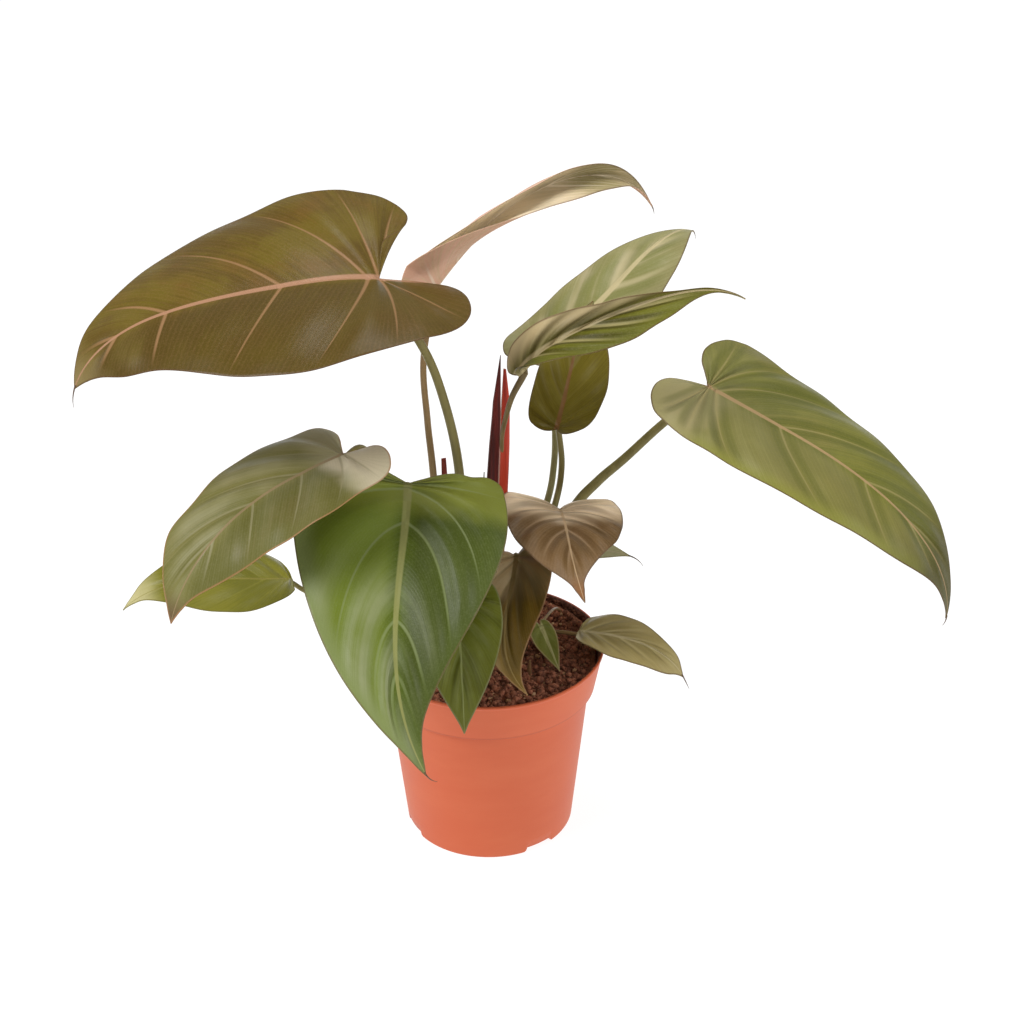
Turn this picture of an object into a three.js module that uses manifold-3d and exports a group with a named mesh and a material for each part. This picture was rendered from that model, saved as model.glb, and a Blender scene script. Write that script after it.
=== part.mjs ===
// A philodendron with heart-shaped leaves, potted in a 12 cm nursery pot.
//
// Millimetres, +Z up. The origin is the centre of the pot's underside, on the ground.
// The front of the plant is -Y, and +X is to the right as seen from there.
//
// Every leaf is one solid: its stalk, and a thin blade bent along a midrib.
// The stalks stand in plain holes of two short crowns, or straight in the soil.

import * as THREE from 'three';
import { mergeVertices } from 'three/addons/utils/BufferGeometryUtils.js';
import Module from 'manifold-3d';

const wasm = await Module();
wasm.setup();

// Driving dimensions of the pot

const RIM_DIAMETER = 120;
const POT_HEIGHT = 104;
const BASE_DIAMETER = 87.4;
const BAND_HEIGHT = 22;
const BAND_FOOT_RADIUS = 55.4;
const WALL_TOP_RADIUS = 52.5;
const WALL = 1.4;
const LIP = 0.8;
const FLOOR_UNDERSIDE = 3.6;
const FLOOR_THICKNESS = 1.4;
const FOOT_RING_WIDTH = 3.4;
const CENTRE_PAD_RADIUS = 9;
const NOTCH_ANGLES = [54, 157, 240, 322];
const NOTCH_WIDTH = 16;
const NOTCH_HEIGHT = 3.2;
const DRAIN_HOLE_RADIUS = 4;
const POT_SIDES = 40;

// Driving dimensions of the soil and the plant

const GAP = 0.4;
const SOIL_EDGE_HEIGHT = 96.5;
const SOIL_MOUND = 2.2;
const SOIL_SIDES = 32;
const BLADE_THICKNESS = 0.9;

const rad = THREE.MathUtils.degToRad;
const lerp = THREE.MathUtils.lerp;
const clamp = THREE.MathUtils.clamp;

// The leaves, from the largest down.
// base: where the stalk meets the blade. heading: the way the midrib runs, seen from
// above, counted from +X towards +Y, at equal steps from the base to the tip. rise: the
// same for its climb. roll: how far the blade leans over to its right. width, lobe, sinus,
// full, quilt, fold, curl and lobeBend come in pairs, left side first. full widens the
// outline half-way, at seven tenths and near the tip. veins: the share of the midrib where
// a pair of side veins branches off, and the shares of the left and right outline where
// they end. bow: how far they bow out. stalk: its way from the root.

const LEAVES = [
  {
    name: 'leaf_upper_left', colour: 0x77683a, base: [-48, -13, 312.5],
    heading: [203, 190, 193, 216], rise: [16, -6, -16, -65], roll: [-17, -13, -15],
    length: 157, width: [68.5, 69], lobe: [34, 27], sinus: [-0.1, 1.0], belly: 0.05,
    full: [[1, 1.05, 1.45], [1.12, 1.03, 1.15]], quilt: [1.6, 1.6], bow: 0.2,
    fold: [[24, -5], [13, -1]], curl: [[-23, -34], [-19, -35]], lobeBend: [-10, -9],
    veins: [[0, 0.3, 0.32], [0, 0.41, 0.4], [0.035, 0.5, 0.54], [0.295, 0.61, 0.66],
      [0.64, 0.73, 0.76], [0.8, 0.86, 0.86]],
    stalk: [[-12, 3.5, 104], [-11.5, 2.5, 150], [-13, 0, 206], [-20, -5, 248], [-30, -9, 278]],
    stalkRadius: [2.6, 1.9], grid: 'large',
  },
  {
    name: 'leaf_right', colour: 0x74773a, base: [113, 37, 231],
    heading: [-28, -28, -3], rise: [-21, -29, -92], roll: [8, 2, 33],
    length: 180, width: [52, 54], lobe: [15, 21], sinus: [0.6, 0.3], belly: 0.03,
    full: [[0.95, 1, 0.85], [1, 1, 0.8]], quilt: [1.7, 1.5],
    fold: [[6, 6], [12, 1]], curl: [[-19, -34], [-9, -29]], lobeBend: [2, 11],
    veins: [[0, 0.36, 0.33], [0, 0.45, 0.41], [0.025, 0.55, 0.49], [0.23, 0.66, 0.61],
      [0.51, 0.75, 0.7], [0.67, 0.82, 0.8]],
    stalk: [[17, 3, 104], [27, 8, 140], [46, 20, 175], [58, 26, 185], [71, 30, 195], [91, 34, 213]],
    stalkRadius: [3.0, 1.9], grid: 'large',
  },
  {
    name: 'leaf_front', colour: 0x42602c, base: [-37, -34, 216],
    heading: [-91, -93, -45], rise: [-36, -44, -47], roll: [-8, -1, 1],
    length: 144, width: [49, 54], lobe: [9, 12], sinus: [0.7, 0.7], belly: -0.09,
    full: [[1, 0.95, 0.78], [1, 1, 1]], quilt: [2.4, 2.2], bow: 1.0,
    fold: [[2, 9], [12, 12]], curl: [[-25, -5], [-16, -5]], lobeBend: [25, 17],
    veins: [[0, 0.45, 0.42], [0.02, 0.61, 0.55], [0.14, 0.69, 0.7], [0.48, 0.76, 0.79],
      [0.66, 0.83, 0.86]],
    stalk: [[-18.5, -4, 104], [-23, -9, 140], [-30, -19, 180], [-36, -29, 207]],
    stalkRadius: [2.6, 2.0], grid: 'large',
  },
  {
    name: 'leaf_left', colour: 0x6f6c48, base: [-67, -37, 233.8],
    heading: [211, 208, 212, 203], rise: [-11, -21, -44, -74], roll: [1, -5, -33],
    length: 120, width: [42.5, 43], lobe: [14, 8], sinus: [0.4, 0.7], belly: 0.02,
    full: [[0.98, 0.98, 0.82], [0.9, 1.14, 1.25]], quilt: [1.7, 1.6],
    fold: [[12, -2], [2, 10]], curl: [[-16, -16], [-16, -23]], lobeBend: [-13, 16],
    veins: [[0, 0.38, 0.42], [0.02, 0.48, 0.55], [0.185, 0.575, 0.67], [0.41, 0.67, 0.76],
      [0.62, 0.77, 0.85]],
    stalk: [[-22, 1, 103], [-31, -2, 140], [-44, -9, 182], [-57, -20, 226]],
    stalkRadius: [2.3, 1.7], grid: 'large',
  },
  {
    name: 'leaf_top', colour: 0x8d7c58, base: [-23, 8, 300],
    heading: [28, 31, 40], rise: [48, 10, -57], roll: [18, 73, 28],
    length: 149, width: [21, 25], lobe: [16, 16], sinus: [0.4, 0.4], belly: 0,
    full: [[0.9, 0.85, 0.8], [1.15, 1.2, 1]], quilt: [1.0, 1.0],
    fold: [[62, 48], [72, 40]], curl: [[40, 24], [54, 16]], lobeBend: [10, 6],
    veins: [[0, 0.42, 0.42], [0.1, 0.54, 0.54], [0.28, 0.64, 0.64], [0.5, 0.73, 0.73],
      [0.7, 0.83, 0.83]],
    stalk: [[-20, 7, 104], [-23, 7, 150], [-26, 6, 203], [-28, 6, 230], [-29, 7, 263]],
    stalkRadius: [2.0, 1.4], grid: 'long',
  },
  {
    name: 'leaf_back_right', colour: 0x8f9465, base: [32, 83, 234],
    heading: [36, 47, 57], rise: [10, 23, -30], roll: [-9, -4, -2],
    length: 132, width: [31, 37], lobe: [16, 16], sinus: [0.4, 0.4], belly: -0.02,
    full: [[0.98, 0.93, 0.72], [1, 1.03, 1.05]], quilt: [1.8, 1.5],
    fold: [[3, 0], [2, -3]], curl: [[0, 0], [0, 0]], lobeBend: [16, 10],
    veins: [[0, 0.5, 0.46], [0.09, 0.605, 0.56], [0.4, 0.725, 0.68], [0.67, 0.83, 0.81]],
    stalk: [[11, 11, 104], [17, 14, 135], [31, 25, 172], [35, 35, 188], [36, 46, 202],
      [35, 57, 215], [33, 70, 226]],
    stalkRadius: [1.9, 1.4], grid: 'long',
  },
  {
    name: 'leaf_folded', colour: 0x7d8038, base: [16, -8, 260],
    heading: [8, 11, 5, 6], rise: [54, 22, 13, -32], roll: [-5, 57, 4],
    length: 121, width: [12.5, 20.5], lobe: [2, -12], sinus: [0.4, 0.4], belly: 0.02,
    full: [[0.72, 0.3, 0.4], [1.25, 1.35, 0.8]], quilt: [2.1, 1.4],
    fold: [[38, 56], [36, 38]], curl: [[0, 0], [0, 0]], lobeBend: [0, 0],
    veins: [[0.02, 0.47, 0.44], [0.1, 0.545, 0.52], [0.2, 0.62, 0.62], [0.33, 0.7, 0.7],
      [0.46, 0.78, 0.78]],
    stalk: [[8.6, 2.5, 208], [8.4, -2.5, 224], [10.5, -5.5, 237], [13.5, -8.5, 249]],
    stalkRadius: [0.9, 1.8], grid: 'long',
  },
  {
    name: 'leaf_back', colour: 0x5f5a30, base: [36, 20, 217],
    heading: [66, 70, 67], rise: [44, 46, 12], roll: [-11, -4, 13],
    length: 74, width: [17, 26], lobe: [2, 3], sinus: [0.4, 0.2], belly: 0.04,
    full: [[1.1, 1.1, 1], [1, 1, 1]], quilt: [0.9, 0.9],
    fold: [[21, 10], [22, 9]], curl: [[-6, -10], [-4, -9]], lobeBend: [1, 1],
    veins: [[0, 0.4, 0.4], [0.04, 0.52, 0.52], [0.2, 0.63, 0.63], [0.42, 0.74, 0.74],
      [0.64, 0.84, 0.84]],
    stalk: [[15.5, 9.5, 104], [23, 14, 137], [35, 19, 174], [38.5, 20, 196]],
    stalkRadius: [1.9, 1.4], grid: 'small',
  },
  {
    name: 'leaf_centre', colour: 0x86704f, base: [37, 4, 180],
    heading: [-80, -86, -70], rise: [-1, -3, -39], roll: [-7, -1, 8],
    length: 76, width: [29, 32], lobe: [9, 9], sinus: [0.5, 0.4], belly: -0.03,
    full: [[1.05, 0.85, 0.5], [1.04, 0.97, 0.68]], quilt: [1.8, 1.7],
    fold: [[16, 3], [20, 0]], curl: [[-12, -19], [-7, -20]], lobeBend: [43, 29],
    veins: [[0, 0.42, 0.4], [0.02, 0.53, 0.52], [0.1, 0.63, 0.62], [0.29, 0.71, 0.71],
      [0.55, 0.8, 0.8]],
    stalk: [[9.5, -2, 104], [15, 3, 125], [27, 9, 150], [36, 9, 170]],
    stalkRadius: [1.8, 1.4], grid: 'small',
  },
  {
    name: 'leaf_low_front', colour: 0x6a6134, base: [15, -6, 159],
    heading: [-94, -96, -40], rise: [-21, -25, -28], roll: [17, -5, 0],
    length: 84, width: [20, 21], lobe: [6, 4], sinus: [0.4, 0.4], belly: -0.02,
    full: [[1, 1, 1], [1, 1, 1]], quilt: [1.4, 1.4],
    fold: [[15, 8], [13, 8]], curl: [[-10, -9], [-11, -9]], lobeBend: [10, 10],
    veins: [[0, 0.45, 0.45], [0.03, 0.6, 0.6], [0.15, 0.72, 0.72], [0.4, 0.83, 0.83]],
    stalk: [[2.5, -3.5, 104], [6, -5, 125], [12, -3, 148], [14.5, -1.5, 157]],
    stalkRadius: [1.4, 1.1], grid: 'small',
  },
  {
    name: 'leaf_far_left', colour: 0x87903a, base: [-100, 16, 135],
    heading: [189, 189, 184], rise: [3, 1, -46], roll: [14, -12, -3],
    length: 91, width: [32, 27], lobe: [-2, -5], sinus: [0.4, 0.4], belly: 0.01,
    full: [[1, 0.9, 0.65], [1.1, 1.1, 1.3]], quilt: [1.1, 1.0],
    fold: [[11, 5], [11, 12]], curl: [[-12, -10], [-16, -8]], lobeBend: [0, 0],
    veins: [[0, 0.4, 0.4], [0.03, 0.52, 0.52], [0.16, 0.63, 0.63], [0.38, 0.74, 0.74],
      [0.62, 0.84, 0.84]],
    stalk: [[-33, 10, 88], [-38, 11, 103], [-60, 13, 114], [-80, 15, 121], [-94, 16, 128]],
    stalkRadius: [1.5, 1.2], grid: 'small',
  },
  {
    name: 'leaf_lower_front', colour: 0x3b5a2c, base: [-14, -49, 162],
    heading: [-88, -85, -85], rise: [-55, -64, -82], roll: [-1, 4, -1],
    length: 68, width: [21, 21], lobe: [9, 9], sinus: [0.4, 0.4], belly: 0,
    full: [[1, 1, 1], [1, 1, 1]], quilt: [1.3, 1.3],
    fold: [[15, 8], [15, 8]], curl: [[-9, -9], [-10, -10]], lobeBend: [10, 10],
    veins: [[0, 0.4, 0.4], [0.03, 0.52, 0.52], [0.16, 0.63, 0.63], [0.38, 0.74, 0.74],
      [0.62, 0.84, 0.84]],
    stalk: [[-11, -4.5, 104], [-10, -14, 128], [-12, -31, 154], [-14, -42, 162]],
    stalkRadius: [1.6, 1.2], grid: 'small',
  },
  {
    name: 'leaf_low_right', colour: 0x757650, base: [47, 3, 109],
    heading: [-14, -17, -16], rise: [0, -13, -63], roll: [-7, 11, 19],
    length: 62, width: [18, 21], lobe: [-3, -3], sinus: [0.4, 0.4], belly: 0.03,
    full: [[0.86, 0.85, 1.15], [1.05, 1.25, 1.7]], quilt: [1.0, 1.0],
    fold: [[12, 12], [16, 0]], curl: [[-24, -10], [-1, -13]], lobeBend: [0, 0],
    veins: [[0, 0.42, 0.42], [0.04, 0.56, 0.54], [0.14, 0.68, 0.64], [0.34, 0.8, 0.75],
      [0.6, 0.9, 0.86]],
    stalk: [[25, 17, 88], [28, 14, 99], [36, 8, 105.5]],
    stalkRadius: [1.1, 0.9], grid: 'small',
  },
  {
    name: 'leaf_behind', colour: 0x9aa070, base: [34, 30, 143],
    heading: [-3, -3, -2], rise: [3, -5, -20], roll: [4, 10, 10],
    length: 42, width: [12, 12], lobe: [5, 5], sinus: [0.4, 0.4], belly: 0,
    full: [[1, 1, 1], [1, 1, 1]], quilt: [0.6, 0.6],
    fold: [[14, 9], [13, 6]], curl: [[-10, -10], [-10, -11]], lobeBend: [10, 10],
    veins: [[0, 0.42, 0.42], [0.08, 0.58, 0.58], [0.36, 0.75, 0.75]],
    stalk: [[20, 27, 88], [22, 28, 108], [27, 30, 131]],
    stalkRadius: [1.2, 0.9], grid: 'tiny',
  },
  {
    name: 'leaf_smallest', colour: 0x596b38, base: [27, -2, 116],
    heading: [-64, -66, -62], rise: [-30, -34, -42], roll: [-10, 4, 0],
    length: 27, width: [6, 8], lobe: [3, 3], sinus: [0.4, 0.4], belly: 0,
    full: [[1, 1, 1], [1, 1, 1]], quilt: [0.3, 0.3],
    fold: [[12, 8], [13, 6]], curl: [[-10, -10], [-8, -10]], lobeBend: [10, 10],
    veins: [[0, 0.42, 0.42], [0.08, 0.58, 0.58], [0.36, 0.75, 0.75]],
    stalk: [[38, 36, 88], [38.5, 36, 103], [36, 26, 112.5], [31, 10, 117]],
    stalkRadius: [0.8, 0.7], grid: 'tiny',
  },
];

// The short crowns that the stalks grow from, and the sheaths that wrapped young leaves.
// A crown is [distance from its foot, radius] from the bottom up.

const CROWNS = [
  {
    name: 'crown_left', centre: [-16, 2.5],
    profile: [[80, 6], [88, 8.5], [98, 11], [105, 11.4], [111, 9.5], [115, 5.5]],
  },
  {
    name: 'crown_right', centre: [8.8, 4],
    profile: [[80, 6.5], [88, 9], [98, 11.6], [106, 12.2], [112, 10.4], [117, 6]],
  },
];

// A sheath: the line of its slit side, how far it stands out from that line to its own
// side, and how deep it is, from the root up.

const SHEATHS = [
  {
    name: 'sheath_maroon', colour: 0x4f1a17, side: -1,
    line: [[2.2, 5, 104], [4.6, 4, 160], [6.7, 2.6, 205], [7.7, 2.2, 235], [8.3, 2, 266]],
    out: [3.4, 5.6, 5.9, 4.9, 3.6, 0.35], deep: [2.6, 3.6, 3.7, 3.3, 2.4, 0.3],
  },
  {
    name: 'sheath_red', colour: 0xa5392b, side: 1,
    line: [[2.6, 5, 104], [5, 4, 160], [7.1, 2.6, 205], [8.1, 2.2, 235], [9.4, 2, 258.5]],
    out: [2.6, 4.2, 4.4, 4.3, 3.9, 1.3], deep: [2.4, 3.3, 3.5, 3.2, 2.6, 1.0],
  },
  {
    name: 'sheath_scale', colour: 0x6a5a34, side: -1,
    line: [[-2.4, 6, 104], [-1.9, 6, 150], [-0.3, 6, 200.5]],
    out: [1.8, 2.2, 1.9, 0.5], deep: [2.2, 2.8, 2.2, 0.5],
  },
  {
    name: 'sheath_left', colour: 0x8f3a30, side: -1,
    line: [[-13.2, 9.5, 103], [-16.5, 10, 150], [-19.4, 10, 206.5]],
    out: [2.8, 3.8, 4.4, 2.4], deep: [2.1, 2.4, 2.2, 0.8],
  },
  {
    name: 'sheath_dry', colour: 0xb08a62, side: -1,
    line: [[22.2, -20, 91], [22, -20.5, 99], [21.6, -22, 107.5]],
    out: [2.4, 2.8, 2.2, 0.7], deep: [1.3, 1.5, 1.2, 0.6],
  },
];

// Closed meshes and their cuts

function solidOf(geometry) {
  geometry.deleteAttribute('normal');
  geometry.deleteAttribute('uv');
  const merged = mergeVertices(geometry, 1e-4);
  const place = merged.attributes.position.array;
  const corners = merged.index.array;
  const kept = [];
  for (let i = 0; i < corners.length; i += 3) {
    const [a, b, c] = corners.slice(i, i + 3);
    if (a !== b && b !== c && c !== a) kept.push(a, b, c);
  }
  const mesh = new wasm.Mesh({
    numProp: 3,
    vertProperties: new Float32Array(place),
    triVerts: new Uint32Array(volumeOf(place, kept) > 0 ? kept : kept.reverse()),
  });
  return new wasm.Manifold(mesh);
}

function volumeOf(place, corners) {
  const [a, b, c] = [new THREE.Vector3(), new THREE.Vector3(), new THREE.Vector3()];
  let volume = 0;
  for (let i = 0; i < corners.length; i += 3) {
    a.fromArray(place, 3 * corners[i]);
    b.fromArray(place, 3 * corners[i + 1]);
    c.fromArray(place, 3 * corners[i + 2]);
    volume += a.dot(b.cross(c)) / 6;
  }
  return volume;
}

function meshOf(name, solid, colour, roughness) {
  const { vertProperties, triVerts, numProp } = solid.getMesh();
  const places = new Float32Array((vertProperties.length / numProp) * 3);
  for (let i = 0; i < places.length / 3; i += 1) {
    for (let k = 0; k < 3; k += 1) places[3 * i + k] = vertProperties[numProp * i + k];
  }
  const geometry = new THREE.BufferGeometry();
  geometry.setAttribute('position', new THREE.BufferAttribute(places, 3));
  geometry.setIndex(new THREE.BufferAttribute(new Uint32Array(triVerts), 1));
  geometry.computeVertexNormals();
  const material = new THREE.MeshStandardMaterial({ color: colour, roughness, metalness: 0 });
  const mesh = new THREE.Mesh(geometry, material);
  mesh.name = name;
  return mesh;
}

// Turns a list of rings, each the same number of points, into a closed skin.
function skinOf(rings, first, last) {
  const triangles = [];
  const put = (a, b, c) => triangles.push(...a.toArray(), ...b.toArray(), ...c.toArray());
  const sides = rings[0].length;
  for (let j = 0; j < sides; j += 1) {
    const next = (j + 1) % sides;
    put(first, rings[0][next], rings[0][j]);
    put(last, rings.at(-1)[j], rings.at(-1)[next]);
    for (let i = 0; i + 1 < rings.length; i += 1) {
      put(rings[i][j], rings[i][next], rings[i + 1][next]);
      put(rings[i][j], rings[i + 1][next], rings[i + 1][j]);
    }
  }
  const geometry = new THREE.BufferGeometry();
  geometry.setAttribute('position', new THREE.BufferAttribute(new Float32Array(triangles), 3));
  return geometry;
}

// A list of values read at share t of the way along it.
function valueAlong(values, t) {
  const place = clamp(t, 0, 1) * (values.length - 1);
  const before = Math.min(Math.floor(place), values.length - 2);
  return lerp(values[before], values[before + 1], place - before);
}

// A straight round bar, then bent along a curve, with its own half-widths at each place.
function bar(points, sides, steps, acrossAt, deepAt, flatten = 0) {
  const curve = new THREE.CatmullRomCurve3(points, false, 'catmullrom', 0.5);
  const frames = curve.computeFrenetFrames(steps, false);
  const geometry = new THREE.CylinderGeometry(1, 1, 1, sides, steps);
  const place = geometry.attributes.position;
  for (let i = 0; i < place.count; i += 1) {
    const step = Math.round((place.getY(i) + 0.5) * steps);
    const t = step / steps;
    const tangent = frames.tangents[step];
    const right = flatten
      ? new THREE.Vector3(1, 0, 0).addScaledVector(tangent, -tangent.x).normalize()
      : frames.normals[step];
    const away = new THREE.Vector3().crossVectors(right, tangent);
    const x = flatten ? flatten * Math.max(0, flatten * place.getX(i)) : place.getX(i);
    const point = curve.getPointAt(t)
      .addScaledVector(right, x * acrossAt(t))
      .addScaledVector(away, place.getZ(i) * deepAt(t));
    place.setXYZ(i, point.x, point.y, point.z);
  }
  return solidOf(geometry);
}

// The leaf blade

// The lowest polynomial that passes the values, given at equal steps from base to tip.
function through(values, q) {
  const last = values.length - 1;
  let total = 0;
  values.forEach((value, i) => {
    let share = 1;
    for (let j = 0; j <= last; j += 1) {
      if (j !== i) share *= (q * last - j) / (i - j);
    }
    total += value * share;
  });
  return total;
}

const MIDRIB_STEPS = 60;

// Columns from the midrib to the margin, and the steps between rows in the field next to
// the notch, in each field between two side veins, and in the field at the tip.
const GRIDS = {
  large: { columns: [0, 0.08, 0.4, 0.75, 1], steps: [8, 3, 4] },
  long: { columns: [0, 0.12, 0.55, 1], steps: [7, 3, 4] },
  small: { columns: [0, 0.12, 0.55, 1], steps: [6, 2, 3] },
  tiny: { columns: [0, 0.3, 1], steps: [6, 3, 4] },
};

function midribOf(leaf) {
  const points = [new THREE.Vector3(...leaf.base)];
  for (let k = 0; k < MIDRIB_STEPS; k += 1) {
    const forward = forwardOf(leaf, (k + 0.5) / MIDRIB_STEPS);
    points.push(points[k].clone().addScaledVector(forward, leaf.length / MIDRIB_STEPS));
  }
  return points;
}

function forwardOf(leaf, q) {
  const heading = rad(through(leaf.heading, q));
  const rise = rad(through(leaf.rise, q));
  return new THREE.Vector3(
    Math.cos(rise) * Math.cos(heading), Math.cos(rise) * Math.sin(heading), Math.sin(rise),
  );
}

// The midrib's point at share q, with the blade's forward, right and up directions there.
function frameOf(leaf, midrib, q) {
  const step = Math.min(Math.floor(q * MIDRIB_STEPS), MIDRIB_STEPS - 1);
  const point = midrib[step].clone().lerp(midrib[step + 1], q * MIDRIB_STEPS - step);
  const forward = forwardOf(leaf, q);
  const heading = rad(through(leaf.heading, q));
  const roll = rad(through(leaf.roll, q));
  const level = new THREE.Vector3(Math.sin(heading), -Math.cos(heading), 0);
  const above = new THREE.Vector3().crossVectors(level, forward);
  const up = above.clone().multiplyScalar(Math.cos(roll)).addScaledVector(level, Math.sin(roll));
  const right = level.clone().multiplyScalar(Math.cos(roll)).addScaledVector(above, -Math.sin(roll));
  return { point, forward, right, up };
}

// Half of the flat outline, from the notch at the stalk round the lobe to the tip:
// x in lengths along the midrib, y in half-widths out from it.
function outlineOf(leaf, k) {
  const [lobe, sinus, belly] = [leaf.lobe[k] / leaf.length, leaf.sinus[k], leaf.belly];
  const [middle, late, tip] = leaf.full[k];
  const opening = Math.max(sinus - 0.5, 0);
  const back = lobe > 0
    ? [0.7 * opening - 0.5, 1.15 * opening - 0.9, 0.35 * opening - 1, -0.3 * opening - 0.8,
      -0.5 * opening - 0.3]
    : [-0.05, -0.12, -0.25, -0.5, -0.8];
  const corner = lobe > 0 ? 0.06 * Math.max(1 - lobe / 0.07, 0) : 0;
  const drawn = 0.5 * Math.min(belly, 0);
  const corners = [
    [0, 0],
    [back[0] * lobe, 0.03 + 0.2 * sinus],
    [back[1] * lobe, 0.14 + 0.24 * sinus],
    [back[2] * lobe, 0.36 + 0.18 * sinus],
    [back[3] * lobe + 0.35 * corner, 0.65 + 0.06 * sinus + 1.2 * drawn],
    [back[4] * lobe + corner + drawn, 0.87 + 0.02 * sinus + 1.2 * drawn],
    [0.07 + belly, 0.985],
    [0.22 + belly, 1],
    [0.38 + 0.8 * belly, 0.45 * (1 + middle)],
    [0.54 + 0.6 * belly, 0.715 * middle],
    [0.7 + 0.4 * belly, 0.475 * late],
    [0.84 + 0.2 * belly, 0.235 * tip],
    [0.92 + 0.1 * belly, 0.105 * tip],
    [0.965, 0.045 * tip],
    [1, 0],
  ];
  const points = corners.map(([x, y]) => new THREE.Vector3(x, y, 0));
  return new THREE.CatmullRomCurve3(points, false, 'catmullrom', 0.5);
}

// The rows of a blade. 0 is the notch, and whole numbers after it are side veins.
function ordersOf(leaf) {
  const [first, middle, last] = GRIDS[leaf.grid].steps;
  const fields = leaf.veins.length + 1;
  const orders = [0];
  for (let field = 0; field < fields; field += 1) {
    const steps = { 0: first, [fields - 1]: last }[field] ?? middle;
    for (let i = 1; i <= steps; i += 1) orders.push(field + i / steps);
  }
  return orders;
}

// A point of the upper face, in the row of that order and v from the midrib to the margin.
// The vein leaves the midrib steeply, then bends forward. Between veins the face bulges.
function bladePoint(leaf, midrib, side, outline, order, v) {
  const k = side < 0 ? 0 : 1;
  const share = order / (leaf.veins.length + 1);
  const branch = valueAlong([0, ...leaf.veins.map((vein) => vein[0]), 1], share);
  const edge = outline.getPoint(valueAlong([0, ...leaf.veins.map((vein) => vein[1 + k]), 1], share));
  const bow = leaf.bow ?? 0.4;
  const handle = branch + (0.5 - 0.35 * bow) * (edge.x - branch);
  const along = leaf.length * ((1 - v) ** 2 * branch + 2 * v * (1 - v) * handle + v * v * edge.x);
  const reach = 2 * v * (1 - v) * (0.5 + 0.35 * bow) + v * v;
  const across = leaf.width[k] * Math.max(edge.y, 0) * reach;
  const q = clamp(along / leaf.length, 0, 1);
  const { point, forward, right, up } = frameOf(leaf, midrib, q);
  const start = rad(lerp(...leaf.fold[k], q));
  const bend = rad(lerp(...leaf.curl[k], q)) / leaf.width[k] || 1e-9;
  const turn = start + bend * across;
  const back = Math.max(-along, 0);
  const sink = rad(leaf.lobeBend[k]) / leaf.lobe[k] || 1e-9;
  const tilt = sink * back;
  point.addScaledVector(right, (side * (Math.sin(turn) - Math.sin(start))) / bend);
  point.addScaledVector(up, (Math.cos(start) - Math.cos(turn)) / bend);
  point.addScaledVector(forward, -Math.sin(tilt) / sink);
  point.addScaledVector(up, -(1 - Math.cos(tilt)) / sink);
  const out = up.clone().multiplyScalar(Math.cos(tilt)).addScaledVector(forward, -Math.sin(tilt));
  out.multiplyScalar(Math.cos(turn)).addScaledVector(right, -side * Math.sin(turn));
  const bulge = Math.sin(Math.PI * order) ** 2 * Math.sin(0.85 * Math.PI * v) * clamp(edge.y, 0, 1);
  point.addScaledVector(out, leaf.quilt[k] * bulge);
  return { point, out, up, q };
}

// Both faces are split into triangles alike, and a narrow wall closes the margin.
function bladeOf(leaf) {
  const midrib = midribOf(leaf);
  const { columns } = GRIDS[leaf.grid];
  const orders = ordersOf(leaf);
  const thick = leaf.length > 50 ? BLADE_THICKNESS : 0.7 * BLADE_THICKNESS;
  const rib = leaf.length / 75;
  const triangles = [];
  const put = (...corners) => corners.forEach((corner) => triangles.push(...corner.toArray()));
  for (const side of [-1, 1]) {
    const k = side < 0 ? 0 : 1;
    const outline = outlineOf(leaf, k);
    const upper = [];
    const lower = [];
    for (const [i, order] of orders.entries()) {
      upper.push([]);
      lower.push([]);
      for (const v of columns) {
        const { point, out, up, q } = bladePoint(leaf, midrib, side, outline, order, v);
        const onMidrib = v === 0 || order === 0 || order === orders.at(-1);
        const depth = onMidrib ? thick + rib * (1 - 0.85 * q) : thick;
        upper[i].push(point);
        lower[i].push(point.clone().addScaledVector(onMidrib ? up : out, -depth));
      }
    }
    const turned = (a, b, c) => (side > 0 ? put(a, b, c) : put(a, c, b));
    const last = columns.length - 1;
    for (let i = 0; i + 1 < orders.length; i += 1) {
      for (let j = 0; j < last; j += 1) {
        turned(upper[i][j], upper[i][j + 1], upper[i + 1][j + 1]);
        turned(upper[i][j], upper[i + 1][j + 1], upper[i + 1][j]);
        turned(lower[i][j], lower[i + 1][j + 1], lower[i][j + 1]);
        turned(lower[i][j], lower[i + 1][j], lower[i + 1][j + 1]);
      }
      turned(upper[i][last], lower[i][last], lower[i + 1][last]);
      turned(upper[i][last], lower[i + 1][last], upper[i + 1][last]);
    }
  }
  const geometry = new THREE.BufferGeometry();
  geometry.setAttribute('position', new THREE.BufferAttribute(new Float32Array(triangles), 3));
  return solidOf(geometry);
}

// The stalk ends sunk in the rib under the blade's foot. Its clearance hole is wider by grow.
function stalkOf(leaf, grow = 0) {
  const { point, forward, up } = frameOf(leaf, midribOf(leaf), 0);
  const [foot, top] = leaf.stalkRadius;
  const points = leaf.stalk.map((place) => new THREE.Vector3(...place));
  points[0].z -= grow;
  points.push(point.clone().addScaledVector(up, -1.1 * top - 0.6));
  points.push(point.clone().addScaledVector(forward, 0.04 * leaf.length)
    .addScaledVector(up, -0.6 * top - 0.6));
  const radius = (t) => (t < 0.92 ? lerp(foot, top, t / 0.92) : lerp(top, 0.6 * top, (t - 0.92) / 0.08));
  const sides = foot > 2 ? 8 : 6;
  return bar(points, sides, 12, (t) => radius(t) + grow, (t) => radius(t) + grow);
}

// Crowns and sheaths

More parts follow.
